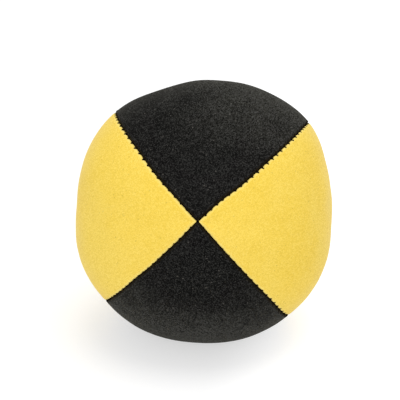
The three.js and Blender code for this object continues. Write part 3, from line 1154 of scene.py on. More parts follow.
def loft_points(rings: np.ndarray) -> np.ndarray:
    """Points of a lofted body: those of its rings, then the middles of the first and the last ring."""
    middles = np.stack([rings[0].mean(axis=0), rings[-1].mean(axis=0)])
    return np.vstack([rings.reshape(-1, 3), middles])


def lofted(rings: np.ndarray) -> Faces:
    """Faces of a closed body through rings of points, whose end rings are closed round a point of their own.

    Args:
        rings: The rings' points, as rings by points by coordinates. Two more points, the middles of the first
            and the last ring, follow all of these in the mesh.

    Returns:
        The faces.
    """
    count, size = rings.shape[:2]
    here = np.arange(size)
    after = (here + 1) % size
    base = (np.arange(count - 1) * size)[:, None]
    quads = np.stack([base + here, base + after, base + size + after, base + size + here], axis=-1)
    faces = [tuple(face) for face in quads.reshape(-1, 4).tolist()]
    last = (count - 1) * size
    front, back = count * size, count * size + 1
    faces += [(front, int(b), int(a)) for a, b in zip(here, after)]
    faces += [(back, int(last + a), int(last + b)) for a, b in zip(here, after)]
    return faces


@dataclass(frozen=True)
class SwellPlan:
    """How the fill presses a slack panel out between its seams.

    Args:
        slack_mm: How far the panel's middle hangs in before that.
        limits_mm: Least and greatest rise over the ball's form.
        shape: Points of the slack panel, from pole to pole and from seam to seam.
        margin: Polar angle from a pole to the first of them.
        scale: Blender's metres in a millimetre, while the panel is pressed.
        frames: How many frames it is pressed for.
        pressure: The fill's pressure.
        mass: Mass of each point.
        stiffness: How hard the suede is to stretch or squeeze.
    """

    slack_mm: float = 1.5
    limits_mm: Span = (-0.25, 0.05)
    shape: tuple[int, int] = (31, 13)
    margin: float = 0.02
    scale: float = 0.01
    frames: int = 20
    pressure: float = 120.0
    mass: float = 0.1
    stiffness: float = 5.0

    def press(self, item: bpy.types.Object, pins: str) -> None:
        """Runs the fill's pressure on a slack panel and applies the result.

        Args:
            item: The slack panel.
            pins: The group of its points that the seams hold.
        """
        scene = bpy.context.scene
        cloth = item.modifiers.new("fill pressure", "CLOTH")
        cloth.settings.vertex_group_mass = pins
        cloth.settings.use_pressure = True
        cloth.settings.uniform_pressure_force = self.pressure
        cloth.settings.mass = self.mass
        cloth.settings.effector_weights.gravity = 0
        cloth.settings.tension_stiffness = self.stiffness
        cloth.settings.compression_stiffness = self.stiffness
        for frame in range(1, self.frames + 1):
            scene.frame_set(frame)
        choose(item)
        bpy.ops.object.modifier_apply(modifier=cloth.name)
        scene.frame_set(1)


@dataclass(frozen=True)
class FillLumps:
    """The unevenness that the fill gives a panel: waves that cross.

    Args:
        height_mm: About how high it is.
        waves: How many waves cross.
        lengths_mm: Shortest and longest wave.
        phase: Greatest phase of a wave.
        peak: What the waves add up to where many meet.
        pole_fade: How fast it rises away from a pole.
        seed: Start of the random draws.
    """

    height_mm: float = 0.1
    waves: int = 14
    lengths_mm: Span = (6.0, 15.0)
    phase: float = 6.3
    peak: float = 5.0
    pole_fade: float = 3.0
    seed: int = 70

    def rise(self, place: np.ndarray) -> np.ndarray:
        """Height of the waves.

        Args:
            place: Points in the sewn frame.

        Returns:
            The height at each of them.
        """
        draw = np.random.default_rng(self.seed)
        lumps = np.zeros(place.shape[:-1])
        for _ in range(self.waves):
            way = draw.normal(size=3)
            wave = FULL_TURN / draw.uniform(*self.lengths_mm)
            phase = draw.uniform(0, self.phase)
            lumps = lumps + np.sin(place @ (way / np.linalg.norm(way)) * wave + phase)
        return self.height_mm * lumps / self.peak


@dataclass
class SuedePanel:
    """One panel: its face, its turns into the two seams and the allowances inside.

    Args:
        form: The ball's form.
        number: Which panel it is.
        rows: The stitches of every seam.
        suede_mm: Thickness.
        allowance_mm: Depth of the cut edges below the seams' crests.
        allowance_bend: Share of that depth at which an allowance has its middle points.
        back_corners_mm: The back's turn into an allowance: distance from the allowance's back, and depth.
        solid_deg: Angles from a pole between which the panel's solid points end.
        solid_share: Share of the rise from the cut edges to the back that the solid points have.
        tip_mm: Pole's axis to the panel's point.
        pull_room_mm: Half the panel's width from which on a stitch pulls in full.
        gap_share: Greatest share of half the panel's width that the gap at a seam takes.
        fold_room: Room that a full turn needs, in widths of the turn.
        station_mm: Between the rings along it.
        roll_steps: Steps round the turn into a seam.
        crown_steps: Steps across its face.
        crown_crowding: How much closer together these are towards the seams.
        inside_steps: Steps across its back.
        swell: How the fill presses it out.
        lumps: The unevenness that the fill gives it.
    """

    form: BallForm
    number: int
    rows: Sequence[StitchRow]
    suede_mm: float = 0.9
    allowance_mm: float = 4.1
    allowance_bend: float = 0.55
    back_corners_mm: tuple[Span, ...] = ((0.05, 1.25), (0.35, 0.95))
    solid_deg: Span = (4.3, 6.4)
    solid_share: float = 0.06
    tip_mm: float = 0.4
    pull_room_mm: float = 2.0
    gap_share: float = 0.5
    fold_room: float = 1.4
    station_mm: float = 0.2
    roll_steps: int = 8
    crown_steps: int = 44
    crown_crowding: float = 0.35
    inside_steps: int = 14
    swell: SwellPlan = SwellPlan()
    lumps: FillLumps = FillLumps()

    @property
    def cut(self) -> PanelCut:
        """What the panel is."""
        return PANELS[self.number]

    @property
    def span(self) -> Span:
        """Azimuths of the two seams."""
        return self.form.seam_azimuth(self.number - 1), self.form.seam_azimuth(self.number)

    def build(self) -> bpy.types.Object:
        """Builds the panel's mesh.

        Returns:
            Its object.
        """
        form = self.form
        tip = math.asin(self.tip_mm / form.pole_mm)
        stations = int(math.pi * form.crest_mm / self.station_mm)
        polar = np.linspace(tip, math.pi - tip, stations)
        azimuths, depths = (
            np.concatenate([outside, inside[:, ::-1]], axis=1)
            for outside, inside in zip(self._outside(polar), self._inside(polar))
        )
        rings = form.point(polar[:, None], azimuths, depths)
        points = loft_points(rings)
        reach = np.hypot(rings[..., 0], rings[..., 1])
        start, end = self.span
        aside = np.minimum(reach * np.sin(azimuths - start), reach * np.sin(end - azimuths))
        carried = {
            "seam_distance": np.append(aside.ravel(), [0, 0]),
            "from_pole": np.append(np.repeat(np.sin(polar), rings.shape[1]), [0, 0]),
            "downward": points @ form.down / form.crest_mm,
        }
        return Surface(form.placed(points), lofted(rings)).mesh_object(self.cut.name, carried)

    def _edge_room(self, polar: np.ndarray, side: int) -> tuple[np.ndarray, np.ndarray, np.ndarray]:
        """What one edge of the panel has at each station.

        Args:
            polar: Polar angles of the stations.
            side: 0 for the seam before the panel, 1 for the one after it.

        Returns:
            The pull of the stitches, the distance of the suede from the seam's plane, and the share of its
            full turn that the suede has room for.
        """
        roll = ROLLS[self.cut.suede]
        row = self.rows[(self.number - 1 + side) % len(self.rows)]
        start, end = self.span
        middle = (start + end) / 2
        half = self.form.radius(polar, middle) * np.sin(polar) * math.sin((end - start) / 2)
        draw = row.draw(polar * self.form.crest_mm) * np.clip(half / self.pull_room_mm, 0, 1)
        gap = np.minimum(roll.gap_mm + roll.bite_mm * draw, self.gap_share * half)
        fold = np.clip((half - gap) / (self.fold_room * roll.width_mm), 0, 1)
        return draw, gap, fold

    def _edge(self, polar: np.ndarray, side: int, distance: np.ndarray, depth: np.ndarray) -> Sheet:
        """One edge of the face or the back, from its distances off the seam's plane and its depths."""
        return self.form.beside(polar[:, None], self.span[side], INWARD[side] * distance, depth), depth

    @staticmethod
    def _between(edges: Sequence[Sheet], across: np.ndarray) -> np.ndarray:
        """Azimuths between the inner ends of two edges, from -1 at the first to 1 at the last."""
        first, last = (azimuth[:, -1:] for azimuth, _ in edges)
        return (first + last) / 2 + across * (last - first) / 2

    @staticmethod
    def _joined(edges: Sequence[Sheet], middle: Sheet) -> Sheet:
        """The first edge, the middle and the last edge, from cut edge to cut edge."""
        first, last = edges
        return tuple(np.concatenate([a, b, c[:, ::-1]], axis=1) for a, b, c in zip(first, middle, last))

    def _outside(self, polar: np.ndarray) -> Sheet:
        """The suede's face, with its turns into the seams and the faces of the allowances.

        Args:
            polar: Polar angles of the stations.

        Returns:
            Its azimuths and depths, from cut edge to cut edge at each station.
        """
        roll = ROLLS[self.cut.suede]
        edges, felt = [], []
        for side in range(len(self.span)):
            draw, gap, fold = self._edge_room(polar, side)
            felt.append(draw * fold)
            distances = [gap, gap]
            depths = [np.full_like(gap, share * self.allowance_mm) for share in (1, self.allowance_bend)]
            for step in range(self.roll_steps + 1):
                angle = math.pi / 2 * step / self.roll_steps
                distance = gap + roll.width_mm * fold * (1 - math.cos(angle))
                distances.append(distance)
                depth = roll.depth_mm * fold * (1 - math.sin(angle))
                depths.append(depth + roll.dimple(distance, draw * fold))
            edges.append(self._edge(polar, side, np.stack(distances, axis=1), np.stack(depths, axis=1)))
        even = np.linspace(-1, 1, self.crown_steps + 1)[None, 1:-1]
        across = even * (1 + self.crown_crowding * (1 - even**2))
        azimuth = self._between(edges, across)
        depth = self._crown_depth(polar[:, None], azimuth, across)
        ring = self.form.radius(polar[:, None], azimuth) * np.sin(polar)[:, None]
        for seam, sign, draw in zip(self.span, INWARD, felt):
            depth = depth + roll.dimple(ring * np.sin(sign * (azimuth - seam)), draw[:, None])
        return self._joined(edges, (azimuth, depth))

    def _inside(self, polar: np.ndarray) -> Sheet:
        """The suede's back and the backs of the allowances. The panel's points are solid suede.

        Args:
            polar: Polar angles of the stations.

        Returns:
            Its azimuths and depths, from cut edge to cut edge at each station.
        """
        from_pole = np.degrees(np.minimum(polar, math.pi - polar))
        hollow = smooth_step(*self.solid_deg, from_pole)[:, None]
        rise = self.solid_share + (1 - self.solid_share) * hollow
        cut_edge = [(0.0, share * self.allowance_mm) for share in (1, self.allowance_bend)]
        corners = np.array([*cut_edge, *self.back_corners_mm])
        edges = []
        for side in range(len(self.span)):
            _, gap, fold = self._edge_room(polar, side)
            distance = gap[:, None] + (self.suede_mm + corners[None, :, 0]) * fold[:, None]
            depth = self.allowance_mm + rise * (corners[None, :, 1] - self.allowance_mm)
            edges.append(self._edge(polar, side, distance, depth))
        across = np.linspace(-1, 1, self.inside_steps + 1)[None, 1:-1]
        azimuth = self._between(edges, across)
        depth = self.allowance_mm + rise * (self.suede_mm - self.allowance_mm) + 0 * azimuth
        return self._joined(edges, (azimuth, depth))

    def _crown_depth(self, polar: np.ndarray, azimuth: np.ndarray, across: np.ndarray) -> np.ndarray:
        """How far the face is under or, negative, over the ball's form.

        Args:
            polar: Polar angles of the stations.
            azimuth: Azimuths of the face's points.
            across: Their places from -1 at the first seam to 1 at the last.

        Returns:
            The depths that the swell and the fill's unevenness give.
        """
        swell = self._swell()
        rows, columns = swell.shape
        down = polar / math.pi * (rows - 1)
        along = (across + 1) / 2 * (columns - 1)
        i = np.clip(down.astype(int), 0, rows - 2)
        j = np.clip(along.astype(int), 0, columns - 2)
        s, t = smooth_step(0, 1, down - i), smooth_step(0, 1, along - j)
        near = swell[i, j] * (1 - t) + swell[i, j + 1] * t
        far = swell[i + 1, j] * (1 - t) + swell[i + 1, j + 1] * t
        lumps = self.lumps.rise(self.form.direction(polar, azimuth) * self.form.crest_mm)
        level = (1 - across**2) * np.clip(np.sin(polar) * self.lumps.pole_fade, 0, 1)
        rise = near * (1 - s) + far * s + lumps * level
        return -rise * self.form.off_flat(polar, azimuth)

    def _swell(self) -> np.ndarray:
        """Rise of the face over the ball's form when the fill presses a slack panel out between its seams.

        Returns:
            The rise in millimetres, pole to pole by seam to seam.
        """
        plan = self.swell
        rows, columns = plan.shape
        start, end = self.span
        polar = np.linspace(plan.margin, math.pi - plan.margin, rows)[:, None]
        across = np.linspace(-1, 1, columns)[None, :]
        azimuth = (start + end) / 2 + across * (end - start) / 2
        full = self.form.radius(polar, azimuth)
        slack = full - plan.slack_mm * (1 - across**2) * np.sin(polar)
        points = self.form.direction(polar, azimuth) * slack[..., None] * plan.scale
        index = np.arange(rows * columns).reshape(plan.shape)
        faces = np.stack([index[:-1, :-1], index[1:, :-1], index[1:, 1:], index[:-1, 1:]], axis=-1)
        mesh = bpy.data.meshes.new("slack_panel")
        mesh.from_pydata(points.reshape(-1, 3).tolist(), [], faces.reshape(-1, 4).tolist())
        item = new_object("slack_panel", mesh)
        pins = item.vertex_groups.new(name="seams")
        rim = np.concatenate([index[0], index[-1], index[1:-1, 0], index[1:-1, -1]])
        pins.add(rim.tolist(), 1.0, "REPLACE")
        plan.press(item, pins.name)
        pressed = np.array([vertex.co for vertex in item.data.vertices]).reshape(rows, columns, 3)
        bpy.data.objects.remove(item)
        rise = np.linalg.norm(pressed, axis=-1) / plan.scale - full
        rise = np.clip(rise, *plan.limits_mm)
        LOG.info("%s swells to %.2f..%.2f mm of its form", self.cut.name, rise.min(), rise.max())
        return rise

    def dress(self, item: bpy.types.Object, material: bpy.types.Material) -> None:
        """Gives the panel its suede and its place in the part."""
        put_in_part(item, material, self.cut.node)


@dataclass(frozen=True)
class TwistedThread:
    """A twisted thread that is laid along lines.

    Args:
        thread_mm: Thread, across.
        sides: Sides of its section.
        plies: Strands that it is twisted from.
        lay_mm: Length of one full twist.
        groove: Depth of the grooves between the plies, as a share of the radius.
        first_side: A way that no line starts in, from which the twist is counted.
    """

    thread_mm: float
    sides: int = 9
    plies: int = 3
    lay_mm: float = 1.6
    groove: float = 0.16
    first_side: Triple = (0.3, 0.5, 0.81)

    def sweep(self, line: np.ndarray) -> tuple[np.ndarray, Faces]:
        """The thread's surface along one line.

        Args:
            line: Points of its middle, in millimetres.

        Returns:
            The surface's points, in millimetres, and its faces.
        """
        steps = np.diff(line, axis=0)
        lengths = np.linalg.norm(steps, axis=1)
        ways = np.vstack([steps[:1], steps[:-1] + steps[1:], steps[-1:]])
        ways /= np.linalg.norm(ways, axis=1)[:, None]
        side = np.cross(ways[0], self.first_side)
        sides = []
        for way in ways:
            side = side - way * (side @ way)
            side = side / np.linalg.norm(side)
            sides.append(side)
        first = np.array(sides)
        second = np.cross(ways, first)
        arc = np.concatenate([[0], np.cumsum(lengths)])
        around = np.linspace(0, FULL_TURN, self.sides, endpoint=False)[None, :]
        reach = self.thread_mm / 2 * (1 + self.groove * np.cos(self.plies * around))
        angle = around + FULL_TURN * arc[:, None] / self.lay_mm
        rings = line[:, None, :] + reach[..., None] * (
            np.cos(angle)[..., None] * first[:, None, :] + np.sin(angle)[..., None] * second[:, None, :]
        )
        points = np.vstack([rings.reshape(-1, 3), line[:1], line[-1:]])
        return points, lofted(rings)

    def laid(self, form: BallForm, name: str, lines: Sequence[np.ndarray]) -> bpy.types.Object:
        """One mesh object of the thread along several lines.

        Args:
            form: The ball's form, in whose sewn frame the lines are.
            name: The object's name.
            lines: The lines.

        Returns:
            The object.
        """
        points, faces, count = [], [], 0
        for line in lines:
            found, corners = self.sweep(line)
            points.append(found)
            faces += shifted(corners, count)
            count += len(found)
        return Surface(form.placed(np.vstack(points)), faces).mesh_object(name)


@dataclass
class SeamStitching:
    """The thread of one seam: stitches across it and the thread that runs along its groove.

    Args:
        form: The ball's form.
        seam: Which seam it is.
        row: Its stitches.
        thread_mm: Thread, across.
        inner_mm: Seam's plane to the thread on the backs of the allowances.
        inner_depth_mm: Depth of that thread below the crest.
        behind_shares: Shares of those two at which a stitch has a corner on its way there.
        over_suede: A stitch's corners over the suede, as shares of its reach and heights over the face.
        groove_depth_mm: Depth of the thread that runs along the groove.
        groove_dip_mm: How much deeper a stitch pulls it.
        groove_margin_mm: Pole to an end of it.
        groove_step_mm: Between its corners.
        crossing_depth_mm: Depth at which a stitch crosses the groove.
        tooth_mm: How far a stitch reaches over the yellow suede.
        tuck_mm: How far it reaches over the black suede.
        reach_shares: Shares of these that a slack stitch reaches, and that its pull adds.
        slant: How far a stitch leans along the seam, per length across it.
        spacing_mm: Between the rings of the thread.
    """

    form: BallForm
    seam: int
    row: StitchRow
    thread_mm: float = 0.48
    inner_mm: float = 1.4
    inner_depth_mm: float = 1.9
    behind_shares: Span = (0.85, 0.65)
    over_suede: tuple[Span, ...] = ((0.5, 0.16), (0.85, 0.1), (1.1, -0.26))
    groove_depth_mm: float = 0.75
    groove_dip_mm: float = 0.05
    groove_margin_mm: float = 0.4
    groove_step_mm: float = 0.5
    crossing_depth_mm: float = 0.55
    tooth_mm: float = 0.6
    tuck_mm: float = 0.38
    reach_shares: Span = (0.3, 0.75)
    slant: float = 0.2
    spacing_mm: float = 0.2

    def spot(self, arc: float, distance: float, depth: float) -> np.ndarray:
        """A point beside the seam.

        Args:
            arc: Where it is along the seam.
            distance: Signed distance from the seam's plane.
            depth: Depth inside the suede's face.

        Returns:
            The point, in the sewn frame.
        """
        polar = np.float64(arc / self.form.crest_mm)
        azimuth = self.form.beside(polar, self.row.azimuth, np.float64(distance), depth)
        return self.form.point(polar, azimuth, depth)

    def _suede(self, side: int) -> Suede:
        """The suede on the side of lower azimuth, -1, or of higher, 1."""
        number = self.seam if side < 0 else (self.seam + 1) % len(PANELS)
        return PANELS[number].suede

    def _half_stitch(self, arc: float, pull: float, side: int) -> list[Triple]:
        """Corners of a stitch from the groove to the back of one allowance.

        Args:
            arc: Where it is along the seam.
            pull: How hard it is drawn in.
            side: -1 or 1, the side of the seam.

        Returns:
            Each corner's place along the seam, distance from it and depth.
        """
        suede = self._suede(side)
        roll = ROLLS[suede]
        slack, gain = self.reach_shares
        reach = (self.tooth_mm if suede is Suede.YELLOW else self.tuck_mm) * (slack + gain * pull)
        corners = []
        for share, lift in self.over_suede:
            distance = reach * share
            corners.append((distance, roll.face_depth(distance, pull) - lift))
        far_share, deep_share = self.behind_shares
        corners.append((far_share * self.inner_mm, deep_share * self.inner_depth_mm))
        corners.append((self.inner_mm, self.inner_depth_mm))
        return [(arc + self.slant * side * far, side * far, deep) for far, deep in corners]

    def stitch_line(self, which: np.ndarray) -> np.ndarray:
        """Smooth line of a thread that crosses the seam at each stitch and goes on behind on alternate sides.

        Args:
            which: Which stitches it makes.

        Returns:
            The line's points in the sewn frame, in millimetres.
        """
        corners = []
        for count, i in enumerate(np.flatnonzero(which)):
            arc, pull = float(self.row.arcs[i]), float(self.row.pulls[i])
            before, after = (self._half_stitch(arc, pull, side) for side in (-1, 1))
            crossing = [*reversed(before), (arc, 0.0, self.crossing_depth_mm), *after]
            corners += crossing if count % 2 == 0 else reversed(crossing)
        return smooth_line(np.array([self.spot(*corner) for corner in corners]), self.spacing_mm)

    def groove_line(self, which: np.ndarray) -> np.ndarray:
        """Smooth line of the thread along the groove, from the front pole on.

        Args:
            which: Which stitches it passes.

        Returns:
            The line's points in the sewn frame, in millimetres.
        """
        margin = self.groove_margin_mm
        end = math.pi * self.form.crest_mm - margin
        if self.row.hand.any():
            end = self.row.arcs[which][-1]
        places = np.arange(margin, end, self.groove_step_mm)
        depths = self.groove_depth_mm + self.groove_dip_mm * self.row.draw(places)
        spots = [self.spot(arc, 0.0, depth) for arc, depth in zip(places, depths)]
        return smooth_line(np.array(spots), self.spacing_mm)

    def build(self) -> bpy.types.Object:
        """Builds the stitching's mesh.

        Returns:
            Its object.
        """
        machine = ~self.row.hand
        lines = [self.stitch_line(machine), self.groove_line(machine)]
        return TwistedThread(self.thread_mm).laid(self.form, SEAMS[self.seam].name, lines)

    def dress(self, item: bpy.types.Object, material: bpy.types.Material) -> None:
        """Gives the stitching its thread and its place in the part."""
        put_in_part(item, material, SEAMS[self.seam].node)


@dataclass
class ClosingStitch:
    """The hand-sewn thread that closes the filling opening, with its knot behind the suede.

    Args:
        form: The ball's form.
        row: The stitches of the closed seam.
        thread_mm: Thread, across.
        lay_mm: Length of one full twist.
        inner_mm: Seam's plane to the thread behind an allowance.
        inner_depth_mm: Depth of that thread below the crest.
        tooth_mm: How far a stitch reaches over the yellow suede.
        tuck_mm: How far it reaches over the black suede.
        slant: How far a stitch leans along the seam, per length across it.
        knot_mm: Radius of the knot's turns.
        knot_turns: How many turns it has.
        knot_gap_mm: The stitches' end to the knot.
        knot_length_mm: Length of the knot.
        knot_corners: Corners of its line.
    """

    form: BallForm
    row: StitchRow
    thread_mm: float = 0.62
    lay_mm: float = 2.2
    inner_mm: float = 1.5
    inner_depth_mm: float = 2.0
    tooth_mm: float = 1.12
    tuck_mm: float = 1.0
    slant: float = 0.35
    knot_mm: float = 0.42
    knot_turns: float = 2.6
    knot_gap_mm: float = 0.9
    knot_length_mm: float = 1.1
    knot_corners: int = 34

    def _knot(self, line: np.ndarray) -> np.ndarray:
        """The knot's turns, beside the start of the stitches' line.

        Args:
            line: The stitches' line.

        Returns:
            The turns' points, away from the line.
        """
        back = line[0] - line[2]
        back = back / np.linalg.norm(back)
        outward = line[0] / np.linalg.norm(line[0])
        way = np.cross(outward, back)
        angles = np.linspace(0, FULL_TURN * self.knot_turns, self.knot_corners)[:, None]
        climb = np.linspace(0, 1, self.knot_corners)[:, None]
        centre = line[0] + way * (self.knot_gap_mm + self.knot_length_mm * climb)
        turns = np.cos(angles) * outward + np.sin(angles) * back
        return centre + self.knot_mm * turns - self.knot_mm * outward

    def build(self) -> bpy.types.Object:
        """Builds the thread's mesh.

        Returns:
            Its object.
        """
        sewing = SeamStitching(
            self.form,
            CLOSED_SEAM,
            self.row,
            inner_mm=self.inner_mm,
            inner_depth_mm=self.inner_depth_mm,
            tooth_mm=self.tooth_mm,
            tuck_mm=self.tuck_mm,
            slant=self.slant,
        )
        stitches = sewing.stitch_line(self.row.hand)
        line = smooth_line(np.vstack([self._knot(stitches)[::-1], stitches[::2]]), sewing.spacing_mm)
        return TwistedThread(self.thread_mm, lay_mm=self.lay_mm).laid(self.form, "closing_stitch", [line])

    def dress(self, item: bpy.types.Object, material: bpy.types.Material) -> None:
        """Gives the closing stitch its thread and its place in the part."""
        put_in_part(item, material, "closing_thread")


@dataclass
class MilletFill:
    """The fill: a body of millet with its outer grains, and slots round the seams' allowances.

    Args:
        form: The ball's form.
        grains: How many outer grains there are.
        grain_mm: A grain's mean radius.
        grain_steps: Its faces round and its rings.
        grain_shape: Its length, width and height, in mean diameters.
        germ_share: How much it is drawn out towards the germ, per millimetre.
        sizes: Smallest and largest grain, as shares of the mean one.
        seats: Least and greatest depth of a grain's middle below the fill's top, in mean radii.
        shades: Darkest and palest grain.
        cover_mm: Depth of the grains' tops below the suede's face.
        slot_mm: Depth of the slots round the allowances.
        slot_half_mm: Half their width.
        slot_edge_mm: Width over which they end.
        core_shape: Rings and points round of the body.
        core_margin: Polar angle from a pole to its first ring.
        core_depth: Its depth below the fill's top, in mean radii of a grain.
        core_shade: Its shade.
        seed: Start of the random draws.
    """

    form: BallForm
    grains: int = 2700
    grain_mm: float = 1.05
    grain_steps: tuple[int, int] = (8, 5)
    grain_shape: Triple = (1.0, 0.92, 0.84)
    germ_share: float = 0.12
    sizes: Span = (0.88, 1.06)
    seats: Span = (1.05, 1.3)
    shades: Span = (0.1, 0.9)
    cover_mm: float = 1.2
    slot_mm: float = 4.6
    slot_half_mm: float = 2.3
    slot_edge_mm: float = 1.2
    core_shape: tuple[int, int] = (64, 128)
    core_margin: float = 0.03
    core_depth: float = 1.3
    core_shade: float = 0.4
    seed: int = 11

    def top_depth(self, polar: np.ndarray, azimuth: np.ndarray) -> np.ndarray:
        """Depth of the fill's top below the suede's face.

        Args:
            polar: Polar angles.
            azimuth: Azimuths.

        Returns:
            The depths there.
        """
        ring = self.form.radius(polar, azimuth) * np.sin(polar)
        clear = np.full(np.shape(ring), np.inf)
        for seam in range(len(SEAMS)):
            off = np.asarray(azimuth) - self.form.seam_azimuth(seam)
            away = np.where(np.cos(off) > 0, np.abs(ring * np.sin(off)), np.inf)
            clear = np.minimum(clear, away)
        slot = 1 - smooth_step(self.slot_half_mm, self.slot_half_mm + self.slot_edge_mm, clear)
        return self.cover_mm + (self.slot_mm - self.cover_mm) * slot

    def _core(self) -> np.ndarray:
        """The body below the outer grains.

        Returns:
            Its rings' points, in the sewn frame.
        """
        rings, around = self.core_shape
        polar = np.linspace(self.core_margin, math.pi - self.core_margin, rings)[:, None]
        azimuth = np.linspace(0, FULL_TURN, around, endpoint=False)[None, :]
        depth = self.top_depth(polar, azimuth) + self.core_depth * self.grain_mm
        return self.form.point(polar, azimuth, depth)

    def _grain(self) -> Surface:
        """One grain, modelled once about the origin: a ball drawn out a little towards the germ.

        Returns:
            Its points, here in millimetres, and its faces.
        """
        deselect()
        around, rings = self.grain_steps
        bpy.ops.mesh.primitive_uv_sphere_add(segments=around, ring_count=rings, radius=self.grain_mm)
        item = bpy.context.object
        bpy.ops.object.mode_set(mode="EDIT")
        bpy.ops.mesh.select_all(action="SELECT")
        bpy.ops.transform.resize(value=self.grain_shape)
        bpy.ops.object.mode_set(mode="OBJECT")
        points = np.array([vertex.co for vertex in item.data.vertices])
        points[:, 0] *= 1 + self.germ_share * np.clip(points[:, 0], 0, None)
        faces = [tuple(face.vertices) for face in item.data.polygons]
        bpy.data.objects.remove(item)
        return Surface(points, faces)

    def _seated(self, draw: np.random.Generator) -> np.ndarray:
        """Middles of the outer grains, evenly spread over the fill by the golden ratio.

        Args:
            draw: Where the random draws come from.

        Returns:
            The middles, in the sewn frame.
        """
        number = np.arange(self.grains) + 0.5
        polar = np.arccos(1 - 2 * number / self.grains)
        azimuth = (math.pi * (1 + math.sqrt(5)) * number) % FULL_TURN
        depth = self.top_depth(polar, azimuth) + self.grain_mm * draw.uniform(*self.seats, self.grains)
        return self.form.point(polar, azimuth, depth)

    @staticmethod
    def _random_turn(draw: np.random.Generator) -> np.ndarray:
        """A random rotation.

        Args:
            draw: Where the random draws come from.

        Returns:
            The rotation's matrix.
        """
        first = draw.normal(size=3)
        first /= np.linalg.norm(first)
        second = np.cross(first, draw.normal(size=3))
        second /= np.linalg.norm(second)
        return np.stack([first, second, np.cross(first, second)])

    def build(self) -> bpy.types.Object:
        """Builds the fill's mesh.

        Returns:
            Its object.
        """
        draw = np.random.default_rng(self.seed)
        core, grain = self._core(), self._grain()
        points, faces = [loft_points(core)], lofted(core)
        count = len(points[0])
        shades = [np.full(count, self.core_shade)]
        for middle in self._seated(draw):
            turn = self._random_turn(draw)
            points.append(middle + grain.points @ turn.T * draw.uniform(*self.sizes))
            faces += shifted(grain.faces, count)
            shades.append(np.full(len(grain.points), draw.uniform(*self.shades)))
            count += len(grain.points)
        surface = Surface(self.form.placed(np.vstack(points)), faces)
        return surface.mesh_object("millet_fill", {"grain_shade": np.concatenate(shades)})

    def dress(self, item: bpy.types.Object, material: bpy.types.Material) -> None:
        """Gives the fill its millet and its place in the part."""
        put_in_part(item, material, "fill")


@dataclass(frozen=True)
class Lamp:
    """A soft lamp.

    Args:
        name: Its name.
        place_m: Where it stands.
        size_m: Its width.
        power_w: Its power.
    """

    name: str
    place_m: Triple
    size_m: float
    power_w: float


